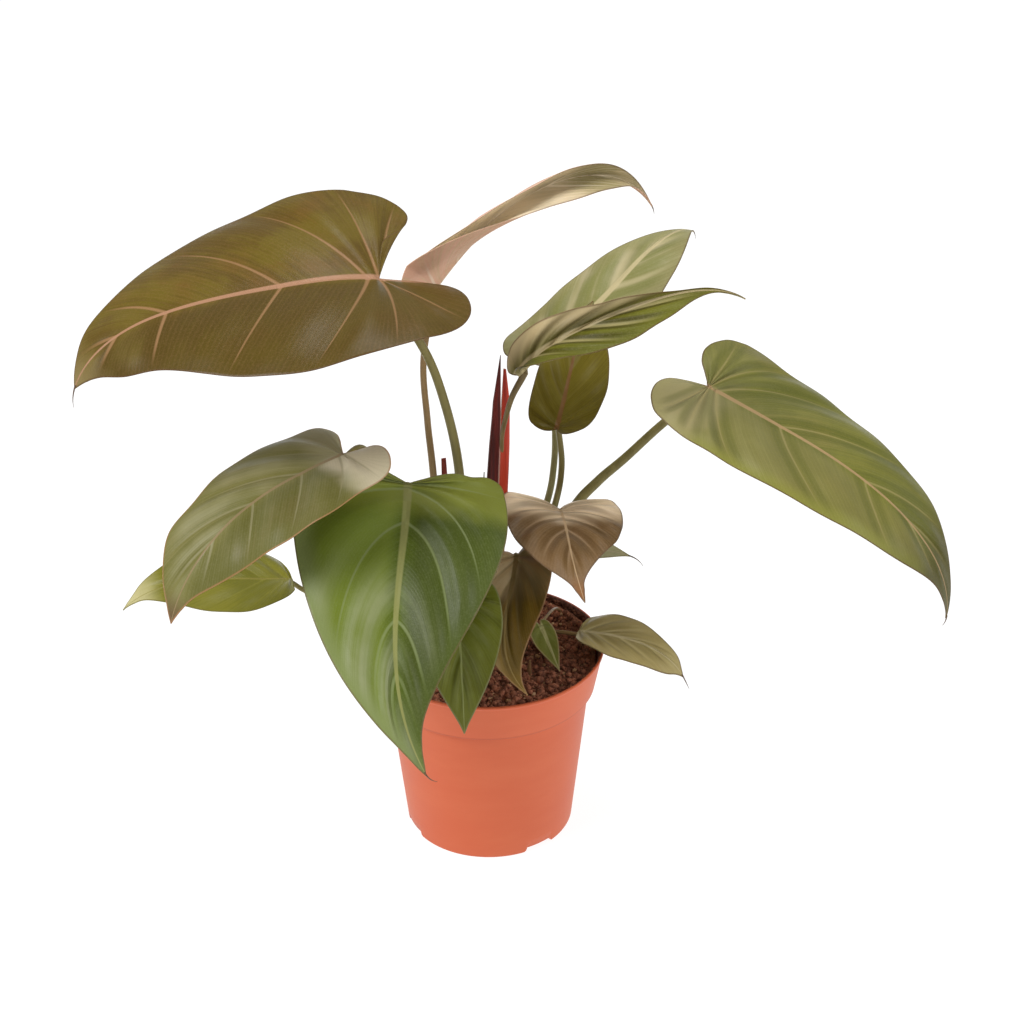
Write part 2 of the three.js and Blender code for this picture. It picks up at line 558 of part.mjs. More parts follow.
function crownOf(crown, grow = 0) {
  const [x, y] = crown.centre;
  const sides = 12;
  const ring = (radius, z) => Array.from({ length: sides }, (_, j) => {
    const angle = (2 * Math.PI * j) / sides;
    const bulge = 1 + 0.05 * Math.cos(3 * angle + 0.08 * z);
    const reach = (radius + grow) * bulge;
    return new THREE.Vector3(x + reach * Math.cos(angle), y + reach * Math.sin(angle), z);
  });
  const rings = crown.profile.map(([z, radius]) => ring(radius, z));
  const first = crown.profile[0][0] - grow;
  rings[0].forEach((point) => point.setZ(first));
  const top = crown.profile.at(-1)[0] + 1.5 + grow;
  return solidOf(skinOf(rings, new THREE.Vector3(x, y, first), new THREE.Vector3(x, y, top)));
}

function sheathOf(sheath, grow = 0) {
  const points = sheath.line.map(([x, y, z]) => new THREE.Vector3(x - sheath.side * grow, y, z));
  points[0].z -= grow;
  const out = (t) => valueAlong(sheath.out, t) + 2 * grow;
  const deep = (t) => valueAlong(sheath.deep, t) + grow;
  return bar(points, 8, 12, out, deep, sheath.side);
}

// Pot

function potOf() {
  const base = BASE_DIAMETER / 2;
  const rim = RIM_DIAMETER / 2;
  const floor = FLOOR_UNDERSIDE + FLOOR_THICKNESS;
  const band = POT_HEIGHT - BAND_HEIGHT;
  const profile = [
    [0, 0],
    [CENTRE_PAD_RADIUS, 0],
    [CENTRE_PAD_RADIUS + 0.6, FLOOR_UNDERSIDE],
    [base - FOOT_RING_WIDTH - 0.4, FLOOR_UNDERSIDE],
    [base - FOOT_RING_WIDTH, 0],
    [base - 0.6, 0],
    [base, 1],
    [WALL_TOP_RADIUS, band - 0.4],
    [BAND_FOOT_RADIUS, band],
    [rim - LIP, POT_HEIGHT - 1.8],
    [rim, POT_HEIGHT - 1.2],
    [rim - 0.2, POT_HEIGHT],
    [rim - WALL - 0.2, POT_HEIGHT],
    [rim - WALL - LIP, POT_HEIGHT - 1.2],
    [BAND_FOOT_RADIUS - WALL, band + 1.4],
    [WALL_TOP_RADIUS - WALL, band - 1.6],
    [base - WALL + 0.4, floor + 1],
    [base - WALL - 0.6, floor],
    [0, floor],
  ].map(([radius, z]) => new THREE.Vector2(radius, z));
  let pot = solidOf(new THREE.LatheGeometry(profile, POT_SIDES).rotateX(Math.PI / 2));
  for (const angle of NOTCH_ANGLES) {
    const notch = new THREE.BoxGeometry(3 * FOOT_RING_WIDTH, NOTCH_WIDTH, 2 * NOTCH_HEIGHT);
    notch.translate(base, 0, 0).rotateZ(-rad(angle));
    pot = pot.subtract(solidOf(notch));
    for (const [reach, turn] of [[base - 9.5, 0], [22, 45]]) {
      const hole = new THREE.CylinderGeometry(DRAIN_HOLE_RADIUS, DRAIN_HOLE_RADIUS, 3 * floor, 12);
      hole.rotateX(Math.PI / 2).translate(reach, 0, 0).rotateZ(-rad(angle + turn));
      pot = pot.subtract(solidOf(hole));
    }
  }
  return pot;
}

// Soil, with a crumbly upper face that is highest round the crowns

function soilHeight(x, y) {
  const share = Math.hypot(x, y) / (RIM_DIAMETER / 2);
  const crumbs = 0.7 * Math.sin(0.47 * x + 1.1) * Math.cos(0.43 * y - 0.4)
    + 0.5 * Math.sin(0.9 * x - 0.7 * y) + 0.4 * Math.cos(0.8 * x + 1.2 * y);
  return SOIL_EDGE_HEIGHT + SOIL_MOUND * (1 - share * share) + crumbs * (1 - share ** 4);
}

function soilOf() {
  const band = POT_HEIGHT - BAND_HEIGHT;
  const floor = FLOOR_UNDERSIDE + FLOOR_THICKNESS + GAP;
  const base = BASE_DIAMETER / 2 - WALL;
  const inner = WALL_TOP_RADIUS - WALL;
  const clear = GAP + 0.4;
  const slope = (RIM_DIAMETER / 2 - LIP - BAND_FOOT_RADIUS) / (BAND_HEIGHT - 2.6);
  const edge = BAND_FOOT_RADIUS - WALL + slope * (SOIL_EDGE_HEIGHT - band - 1.4) - clear;
  const ring = (radius, z) => Array.from({ length: SOIL_SIDES }, (_, j) => {
    const angle = (2 * Math.PI * j) / SOIL_SIDES;
    const x = radius * Math.cos(angle);
    const y = radius * Math.sin(angle);
    return new THREE.Vector3(x, y, z ?? soilHeight(x, y));
  });
  const rings = [
    ring(base - 1.4, floor),
    ring(base - clear, floor + 2),
    ring(inner - clear, band - 2),
    ring(BAND_FOOT_RADIUS - WALL - clear, band + 2),
    ring(edge - 0.3, SOIL_EDGE_HEIGHT - 1.5),
    ...[1, 0.88, 0.74, 0.6, 0.46, 0.3, 0.15]
      .map((share) => ring(share * (edge - 0.4))),
  ];
  const bottom = new THREE.Vector3(0, 0, floor);
  return solidOf(skinOf(rings, bottom, new THREE.Vector3(0, 0, soilHeight(0, 0))));
}

// The whole plant

const plant = new THREE.Group();

plant.add(meshOf('pot', potOf(), 0xd36948, 0.5));

const sheathCuts = SHEATHS.map((sheath) => sheathOf(sheath, GAP));
const stalkCuts = LEAVES.map((leaf) => stalkOf(leaf, GAP));
const cutAll = (solid, cuts) => cuts.reduce((left, cut) => left.subtract(cut), solid);

const crownCuts = CROWNS.map((crown) => crownOf(crown, GAP));
plant.add(meshOf('soil', cutAll(soilOf(), [...crownCuts, ...stalkCuts, ...sheathCuts]), 0x3a241b, 0.95));

for (const crown of CROWNS) {
  const solid = cutAll(crownOf(crown), [...stalkCuts, ...sheathCuts]);
  plant.add(meshOf(crown.name, solid, 0x6b5a38, 0.7));
}

for (const sheath of SHEATHS) {
  const solid = cutAll(sheathOf(sheath), stalkCuts);
  plant.add(meshOf(sheath.name, solid, sheath.colour, 0.35));
}

for (const leaf of LEAVES) {
  plant.add(meshOf(leaf.name, bladeOf(leaf).add(stalkOf(leaf)), leaf.colour, 0.4));
}

export default plant;
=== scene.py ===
"""A philodendron with heart-shaped leaves in a 12 cm nursery pot.

Every leaf is a stalk and a thin blade. A blade is a function of two shares: u runs round
the outline from the notch at the stalk to the tip, and v from the midrib to the margin.
Its flat place lies on a curve that leaves the midrib as a side vein does. That place is
then bent along the midrib, folded about it and curled across it, and gets its relief:
a raised rib, side veins in furrows, and fields that bulge between them.

Sizes are in millimetres until a mesh is made. The origin is the centre of the pot's
underside, +Z is up and the front of the plant is -Y.
"""
import math

import bmesh
import bpy
import numpy as np
from mathutils import Matrix, Vector


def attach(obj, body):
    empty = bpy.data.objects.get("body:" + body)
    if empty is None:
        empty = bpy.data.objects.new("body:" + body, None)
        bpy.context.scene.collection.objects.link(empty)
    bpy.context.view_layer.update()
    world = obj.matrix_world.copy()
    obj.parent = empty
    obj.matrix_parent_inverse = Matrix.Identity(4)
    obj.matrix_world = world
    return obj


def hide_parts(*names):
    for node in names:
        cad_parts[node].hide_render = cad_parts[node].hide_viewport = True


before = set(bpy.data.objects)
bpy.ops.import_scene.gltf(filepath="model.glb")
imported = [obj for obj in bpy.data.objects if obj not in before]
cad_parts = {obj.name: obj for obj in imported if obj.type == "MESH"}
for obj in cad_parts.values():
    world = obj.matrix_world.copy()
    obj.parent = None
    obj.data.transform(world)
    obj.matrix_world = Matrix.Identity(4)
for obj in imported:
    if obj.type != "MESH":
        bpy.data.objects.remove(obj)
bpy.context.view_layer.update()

MM = 0.001
ROOT = "root"

# Camera: in front of the plant and above it
CAMERA_PLACE = (0.0, -0.9711, 0.7106)
CAMERA_PITCH = 28.6
CAMERA_YAW = 0.77
CAMERA_ROLL = -0.45
LENS_MM = 78.0
SENSOR_MM = 36.0

# Lamps point at the middle of the plant
LIGHT_AIM = Vector((0, 0, 0.2))
WORLD_STRENGTH = 0.35

# Pot and soil
RIM_RADIUS = 60.0
CORNER_STEPS = 6
CORNER_SIZE = 0.5
POT_TURNS = 360
FOOT_NOTCHES = (54, 157, 240, 322)
FOOT_RADIUS = 42.0
NOTCH_WIDTH = 16.0
NOTCH_HEIGHT = 3.2
INNER_BAND_FOOT = (54.0, 83.4)
WALL_SLOPE = 0.196
SOIL_TURNS = 300
SOIL_RINGS = 130
SOIL_EDGE = 96.5
SOIL_MOUND = 2.2
SOIL_REACH = 55.6
HEAP_HEIGHT = 4.6
CRUMB_REACH = 53.5

# Blades
MIDRIB_STEPS = 60
BLADE_THICKNESS = 0.75
MARGIN_THINNING = 0.35
MARGIN_ROUNDING = 0.22
FURROW_DEPTH = 0.35
FURROW_WIDTH = 1.1
RIB_HEIGHT = 0.35
WAVE_HEIGHT = 0.5
WAVE_SIZE = 22.0
TINY = 1e-9

# What each point of a blade carries: how far apart the side veins are, the distance to the
# margin, the share of the length from the base, and 1 for the underside
MEASURES = ("spacing", "rim", "along", "below")


def unit(v):
    """Vectors brought to length one."""
    return v / np.maximum(np.linalg.norm(v, axis=-1, keepdims=True), 1e-12)


def dot(a, b):
    """Products of vectors, one number for each pair."""
    return (a * b).sum(axis=-1)


def fade(x, low, high):
    """0 below low, 1 above high, and a smooth S between them."""
    t = np.clip((x - low) / (high - low), 0, 1)
    return t * t * (3 - 2 * t)


def through(values, q):
    """The lowest polynomial in q that passes the values, given at equal steps from base to tip."""
    last = len(values) - 1
    total = 0
    for i, value in enumerate(values):
        share = 1
        for j in range(last + 1):
            if j != i:
                share = share * (q * last - j) / (i - j)
        total = total + value * share
    return total


def smooth_curve(points, t):
    """Points on the curve through the given points at shares t: uniform Catmull-Rom."""
    p = np.asarray(points, float)
    p = np.vstack([2 * p[0] - p[1], p, 2 * p[-1] - p[-2]])
    place = np.clip(t, 0, 1) * (len(p) - 3)
    k = np.minimum(place.astype(int), len(p) - 4)
    w = (place - k)[..., None]
    a, b, c, d = p[k], p[k + 1], p[k + 2], p[k + 3]
    return 0.5 * (2 * b + w * (c - a) + w**2 * (2 * a - 5 * b + 4 * c - d) + w**3 * (3 * b - a - 3 * c + d))


def bent_curve(first, middle, last, w):
    """The quadratic curve from the first point to the last one that leans to the middle one."""
    return (1 - w) ** 2 * first + 2 * w * (1 - w) * middle + w**2 * last


def lattice(i, j, k, seed):
    """A fixed random number between 0 and 1 for each lattice point."""
    n = np.sin(i * 127.1 + j * 311.7 + k * 74.7 + seed * 53.3) * 43758.5453
    return n - np.floor(n)


def value_noise(p, size, seed=0):
    """Random numbers on a lattice of that size, blended smoothly between its points."""
    q = np.asarray(p) / size
    f = np.floor(q)
    w = q - f
    w = w * w * (3 - 2 * w)
    total = 0
    for corner in range(8):
        step = (corner & 1, corner >> 1 & 1, corner >> 2)
        share = 1
        for axis in range(3):
            share = share * (w[..., axis] if step[axis] else 1 - w[..., axis])
        total = total + share * lattice(*(f[..., axis] + step[axis] for axis in range(3)), seed)
    return total - 0.5


# Materials

def paint(code):
    """The linear colour of an ordinary screen colour written as a hexadecimal number."""
    parts = [(code >> shift & 255) / 255 for shift in (16, 8, 0)]
    return tuple(c / 12.92 if c <= 0.04045 else ((c + 0.055) / 1.055) ** 2.4 for c in parts)


class Flow:
    """A socket that takes part in sums. Each operator adds one Math node."""

    def __init__(self, finish, socket):
        self.finish = finish
        self.socket = socket

    def sum(self, operation, *others):
        return self.finish.math(operation, self, *others)

    def __add__(self, other):
        return self.sum("ADD", other)

    __radd__ = __add__

    def __sub__(self, other):
        return self.sum("SUBTRACT", other)

    def __rsub__(self, other):
        return self.finish.math("SUBTRACT", other, self)

    def __mul__(self, other):
        return self.sum("MULTIPLY", other)

    __rmul__ = __mul__

    def __truediv__(self, other):
        return self.sum("DIVIDE", other)

    def __rtruediv__(self, other):
        return self.finish.math("DIVIDE", other, self)

    def __abs__(self):
        return self.sum("ABSOLUTE")

    def rise(self, low, high):
        """0 below low, 1 above high, smooth between. With low above high it falls."""
        return self.finish.node(
            "ShaderNodeMapRange", "Result", {"interpolation_type": "SMOOTHSTEP", "clamp": True},
            {"Value": self, "From Min": low, "From Max": high})


class Finish:
    """A material, and one way to add each kind of node to it."""

    def __init__(self, name, **constants):
        self.material = bpy.data.materials.new(name)
        self.material.use_nodes = True
        self.tree = self.material.node_tree
        self.shader = self.tree.nodes["Principled BSDF"]
        for socket, value in constants.items():
            self.shader.inputs[socket.replace("_", " ")].default_value = value

    def node(self, kind, output, settings=None, sockets=None):
        """Adds a node, sets it up and gives back one of its outputs."""
        made = self.tree.nodes.new(kind)
        for key, value in (settings or {}).items():
            setattr(made, key, value)
        for key, value in (sockets or {}).items():
            self.feed(made.inputs[key], value)
        return Flow(self, made.outputs[output])

    def feed(self, target, value):
        if isinstance(value, Flow):
            self.tree.links.new(value.socket, target)
        elif target.type == "RGBA":
            target.default_value = (*value, 1)
        else:
            target.default_value = value

    def math(self, operation, *values):
        return self.node("ShaderNodeMath", 0, {"operation": operation}, dict(enumerate(values)))

    def place(self):
        return self.node("ShaderNodeTexCoord", "Object")

    def stretched(self, vector, scale):
        return self.node("ShaderNodeMapping", "Vector", sockets={"Vector": vector, "Scale": scale})

    def vector(self, x, y, z):
        return self.node("ShaderNodeCombineXYZ", "Vector", sockets={"X": x, "Y": y, "Z": z})

    def part(self, vector, axis):
        return self.node("ShaderNodeSeparateXYZ", axis, sockets={"Vector": vector})

    def chart(self):
        """The two numbers of the UV map."""
        place = self.node("ShaderNodeUVMap", "UV", {"uv_map": "blade"})
        return self.part(place, "X"), self.part(place, "Y")

    def measure(self, name):
        return self.node("ShaderNodeAttribute", "Fac", {"attribute_name": name})

    def noise(self, vector, scale, detail=3, rough=0.55):
        return self.node("ShaderNodeTexNoise", "Fac", {"noise_dimensions": "3D"},
                         {"Vector": vector, "Scale": scale, "Detail": detail, "Roughness": rough})

    def grain(self, vector, scale):
        return self.node("ShaderNodeTexVoronoi", "Distance", {"feature": "F1"},
                         {"Vector": vector, "Scale": scale})

    def mix(self, share, first, second):
        """Goes from the first colour to the second one as share goes from 0 to 1."""
        return self.node("ShaderNodeMix", 2, {"data_type": "RGBA", "clamp_factor": True},
                         {0: share, 6: first, 7: second})

    def blend(self, share, first, second):
        """The same for two screen colours."""
        return self.mix(share, paint(first), paint(second))

    def tinted(self, colour, *layers):
        """A colour with layers over it, each a share and a screen colour."""
        for share, code in layers:
            colour = self.mix(share, colour, paint(code))
        return colour

    def wear(self, colour, roughness, height, depth):
        """Joins what varies to the shader. Height is a share of depth, in metres."""
        bump = self.node("ShaderNodeBump", "Normal",
                         sockets={"Height": height, "Distance": depth, "Strength": 1})
        for socket, value in (("Base Color", colour), ("Roughness", roughness), ("Normal", bump)):
            self.feed(self.shader.inputs[socket], value)
        return self.material


def blade_finish(name, colours, warm=None, left=None, right=None, base=None, tip=None, edge=None, painted_sheen=None,
                 furrow=None, margin=0x5a4026, rib_width=1.5, vein_width=0.8, vein_share=0.6, gloss=0.38,
                 shine=0.25, lines=10, fine=0.3, relief=3):
    """Leaf skin. Colours are screen colours: five are the main one and those of the patches,
    the rib, the veins and the underside. Widths are in millimetres.

    The first two blend in soft areas with fine streaks that run as the side veins do. warm
    adds broad brownish areas. left and right tint a half: the half's own colour on some
    leaves, and painted light and shade on others, one half lighter or darker by how the
    lamps fall on it. base tints the foot (colour, left and right share, and how far along
    the blade); it is mostly painted light, a lighter foot where it lies in shade or shows a
    highlight. edge is a band inside the margin (colour, both shares and width), the leaf's
    own colour on some leaves and a painted highlight on others, and tip the end (colour and
    where it starts), the end's own colour on some leaves and a painted highlight on others.
    sheen is a painted highlight that lightens the swollen strips between the veins (colour,
    both shares, and where along the blade it starts and is full), and furrow is painted
    shade, a darker line beside each vein (colour, share and distance). The rib and the side
    veins thin towards the margin, and fine veins, lines in each field, run between them.
    relief is the height of the strips.
    """
    main, patch, rib, vein, under = colours
    s = Finish(name, IOR=1.45, Specular_IOR_Level=shine, Coat_Weight=0)
    place = s.place()
    order, across = s.chart()
    spacing, rim, along, below = (s.measure(key) for key in MEASURES)
    reach = abs(across)
    streak = s.noise(s.vector(order * 15, across * 0.03, 0), 1, 3, 0.6)
    wide = s.noise(s.vector(order * 4, across * 0.02, 2), 1, 2)
    soft = s.noise(place, 30)
    nearest = abs((order + 0.5).sum("FRACT") - 0.5)
    ridge = nearest.rise(0.05, 0.4)
    off_vein = nearest * spacing
    fine_lines = 1 - (abs((order * lines + 0.5).sum("FRACT") - 0.5) * 2).rise(0, 0.6)
    rightward = across.rise(-4, 4)

    def halves(on_left, on_right):
        return rightward * (on_right - on_left) + on_left

    layers = []
    if warm:
        code, share = warm
        layers.append(((s.noise(place, 34) * 0.7 + streak * 0.3).rise(0.5, 0.68) * share, code))
    # left and right: the half's own colour on some leaves, painted light and shade on others
    if left:
        layers.append(((0 - across).rise(0.5, 9) * left[1], left[0]))
    if right:
        layers.append((across.rise(0.5, 9) * right[1], right[0]))
    # edge: the leaf's own colour on some leaves, a painted highlight on others
    if edge:
        code, on_left, on_right, width = edge
        layers.append(((rim + soft * 4).rise(width, width * 0.3) * halves(on_left, on_right), code))
    # base: painted light, a lighter foot where it lies in shade or shows a highlight
    if base:
        code, on_left, on_right, end = base
        layers.append(((along + (soft - 0.5) * 0.15).rise(end, end * 0.3) * halves(on_left, on_right), code))
    # Painted highlight: lighter swollen strips between the veins
    if painted_sheen:
        code, on_left, on_right, start, full = painted_sheen
        strips = ridge * (streak * 0.3 + wide * 0.6 + soft * 0.7).rise(0.5, 1.1)
        layers.append((strips * along.rise(start, full) * rim.rise(0, 9) * halves(on_left, on_right), code))
    layers.append((fine_lines * (fine * 0.3), vein))
    # tip: the end's own colour on some leaves, a painted highlight on others
    if tip:
        code, start = tip
        layers.append(((along + (soft - 0.5) * 0.2).rise(start, min(start + 0.2, 1.02)), code))
    # Painted shade: a darker line beside each vein, where the furrow lies
    if furrow:
        code, share, away = furrow
        line = (1 - (abs(off_vein - away) / away).rise(0.2, 1)) * share
        layers.append((line * rim.rise(0, 12) * along.rise(0.95, 0.7), code))
    thin = (1.15 - reach * 0.013) * vein_width
    vein_line = 1 - (off_vein / thin).rise(0.3, 1.2)
    vein_line = vein_line * rim.rise(0.5, 16) * along.rise(1, 0.85) * (1 - reach * 0.008)
    rib_line = 1 - (reach / ((1.12 - along) * rib_width)).rise(0.6, 1.05)
    layers += [(vein_line * vein_share, vein), (rib_line * 0.9, rib), (rim.rise(0.8, 0.12) * 0.7, margin)]

    front = s.tinted(s.blend((soft * 0.6 + streak * 0.4).rise(0.4, 0.6), main, patch), *layers)
    back = s.tinted(s.blend(vein_line * 0.6 + rib_line * 0.8, under, rib),
                    (streak.rise(0.4, 0.65) * 0.5, main))
    colour = s.mix(below.rise(0.35, 0.65), front, back)
    colour = s.tinted(colour, (s.noise(place, 1100, 2).rise(0.45, 0.7) * 0.1, vein))
    swell = (ridge * relief + s.noise(place, 60) * 1.5) * rim.rise(0, 10) * along.rise(1, 0.85)
    height = swell + fine_lines * -0.6 * fine + s.noise(place, 700) * 0.3 + s.grain(place, 2200) * 0.2
    return s.wear(colour, s.noise(place, 140) * 0.14 + (gloss - 0.07), height, 0.00014)


def stalk_finish(name, main, other, streak=0.5, gloss=0.4):
    """Stalk skin: two colours in long streaks, with a fine ribbing along the stalk."""
    s = Finish(name, Specular_IOR_Level=0.3)
    around = s.chart()[0]
    place = s.place()
    ribs = (around * 22).sum("SINE") * 0.5 + 0.5
    long = s.noise(s.stretched(place, (260, 260, 30)), 1)
    colour = s.blend((long + (ribs - 0.5) * 0.12).rise(0.38, 0.7) * streak, main, other)
    colour = s.tinted(colour, (s.noise(place, 900).rise(0.6, 0.75) * 0.25, other))
    return s.wear(colour, long * 0.2 + (gloss - 0.1), ribs * 0.6 + long * 0.6, 0.00015)


# Meshes

def piece_of(name, points, faces, finishes, node, charts=None, measures=None, kinds=None, join=True):
    """Makes a mesh from points in millimetres and stands it in for a CAD node.

    charts are (u, v) for each point, kept per corner, so that they survive the joining of
    points that lie on each other. measures are numbers per point. kinds says which of the
    finishes each face has.
    """
    mesh = bpy.data.meshes.new(name)
    mesh.from_pydata((np.reshape(points, (-1, 3)) * MM).tolist(), [], faces.tolist())
    for finish in finishes:
        mesh.materials.append(finish)
    if kinds is not None:
        mesh.polygons.foreach_set("material_index", kinds.astype(np.int32))
    if charts is not None:
        corners = np.empty(len(mesh.loops), np.int32)
        mesh.loops.foreach_get("vertex_index", corners)
        layer = mesh.uv_layers.new(name="blade")
        layer.data.foreach_set("uv", np.reshape(charts, (-1, 2)).astype(np.float32)[corners].ravel())
    for key, values in (measures or {}).items():
        mesh.attributes.new(key, "FLOAT", "POINT").data.foreach_set("value", values.astype(np.float32))
    if join:
        shape = bmesh.new()
        shape.from_mesh(mesh)
        bmesh.ops.remove_doubles(shape, verts=shape.verts, dist=1e-7)
        shape.to_mesh(mesh)
        shape.free()
    mesh.polygons.foreach_set("use_smooth", np.ones(len(mesh.polygons), bool))
    piece = bpy.data.objects.new(name, mesh)
    bpy.context.scene.collection.objects.link(piece)
    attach(piece, ROOT)
    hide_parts(node)


def grid_faces(rows, columns, closed=False):
    """The four-cornered faces of a grid of points, which may close on itself sideways."""
    i, j = np.meshgrid(np.arange(rows - 1), np.arange(columns if closed else columns - 1), indexing="ij")
    k = (j + 1) % columns
    a, b = i * columns + j, i * columns + k
    c, d = (i + 1) * columns + k, (i + 1) * columns + j
    return np.stack([a, b, c, d], -1).reshape(-1, 4)


def full_turn(steps):
    """Angles in equal steps once round."""
    return np.linspace(0, 2 * np.pi, steps, endpoint=False)


def turned(radius, z, angle):
    """Points of a turned form: a ring for each row of radius and height."""
    return np.stack(np.broadcast_arrays(radius * np.cos(angle), radius * np.sin(angle), z), -1)


def frames_along(path):
    """Forward, side and up directions along a path, turned as little as possible."""
    forward = unit(np.gradient(path, axis=0))
    side = np.empty_like(path)
    guess = np.array([1.0, 0.0, 0.0]) if abs(forward[0][0]) < 0.8 else np.array([0.0, 1.0, 0.0])
    for k, f in enumerate(forward):
        guess = unit(guess - f * (guess @ f))
        side[k] = guess
    return forward, side, np.cross(forward, side)


def tube(path, radii, sides):
    """Points, faces and charts of a closed bar round a path. Its ends are rounded by three
    shrinking rings."""
    forward, side, up = frames_along(path)
    reach, shrink = np.array([0.5, 0.86, 1.0]), np.array([0.86, 0.5, 0.0])
    centre = np.vstack([path[0] - forward[0] * (radii[0] * reach[::-1])[:, None], path,
                        path[-1] + forward[-1] * (radii[-1] * reach)[:, None]])
    size = np.r_[radii[0] * shrink[::-1], radii, radii[-1] * shrink]
    turn = np.clip(np.arange(len(centre)) - len(reach), 0, len(path) - 1)
    angle = full_turn(sides)[None, :, None]
    out = side[turn][:, None] * np.cos(angle) + up[turn][:, None] * np.sin(angle)
    length = np.cumsum(np.r_[0, np.linalg.norm(np.diff(centre, axis=0), axis=1)])
    charts = np.stack(np.broadcast_arrays(angle[..., 0] / (2 * np.pi), length[:, None] / 100), -1)
    points = centre[:, None] + out * size[:, None, None]
    return points.reshape(-1, 3), grid_faces(len(centre), sides, True), charts.reshape(-1, 2)


# Leaves: the same values as the solid leaves, in millimetres and degrees. Pairs are for
# the left and the right half. Each of the veins is the share of the midrib where a pair of
# side veins branches off, and the shares of the left and right outline where they end, once
# if they are equal. full widens the outline half-way, at seven tenths and near the tip. bow
# curves the side veins, dip is how far the stalk's end stays below the blade, tone is the
# stalk's, and hair is where the dry hair on the tip ends, from the tip.

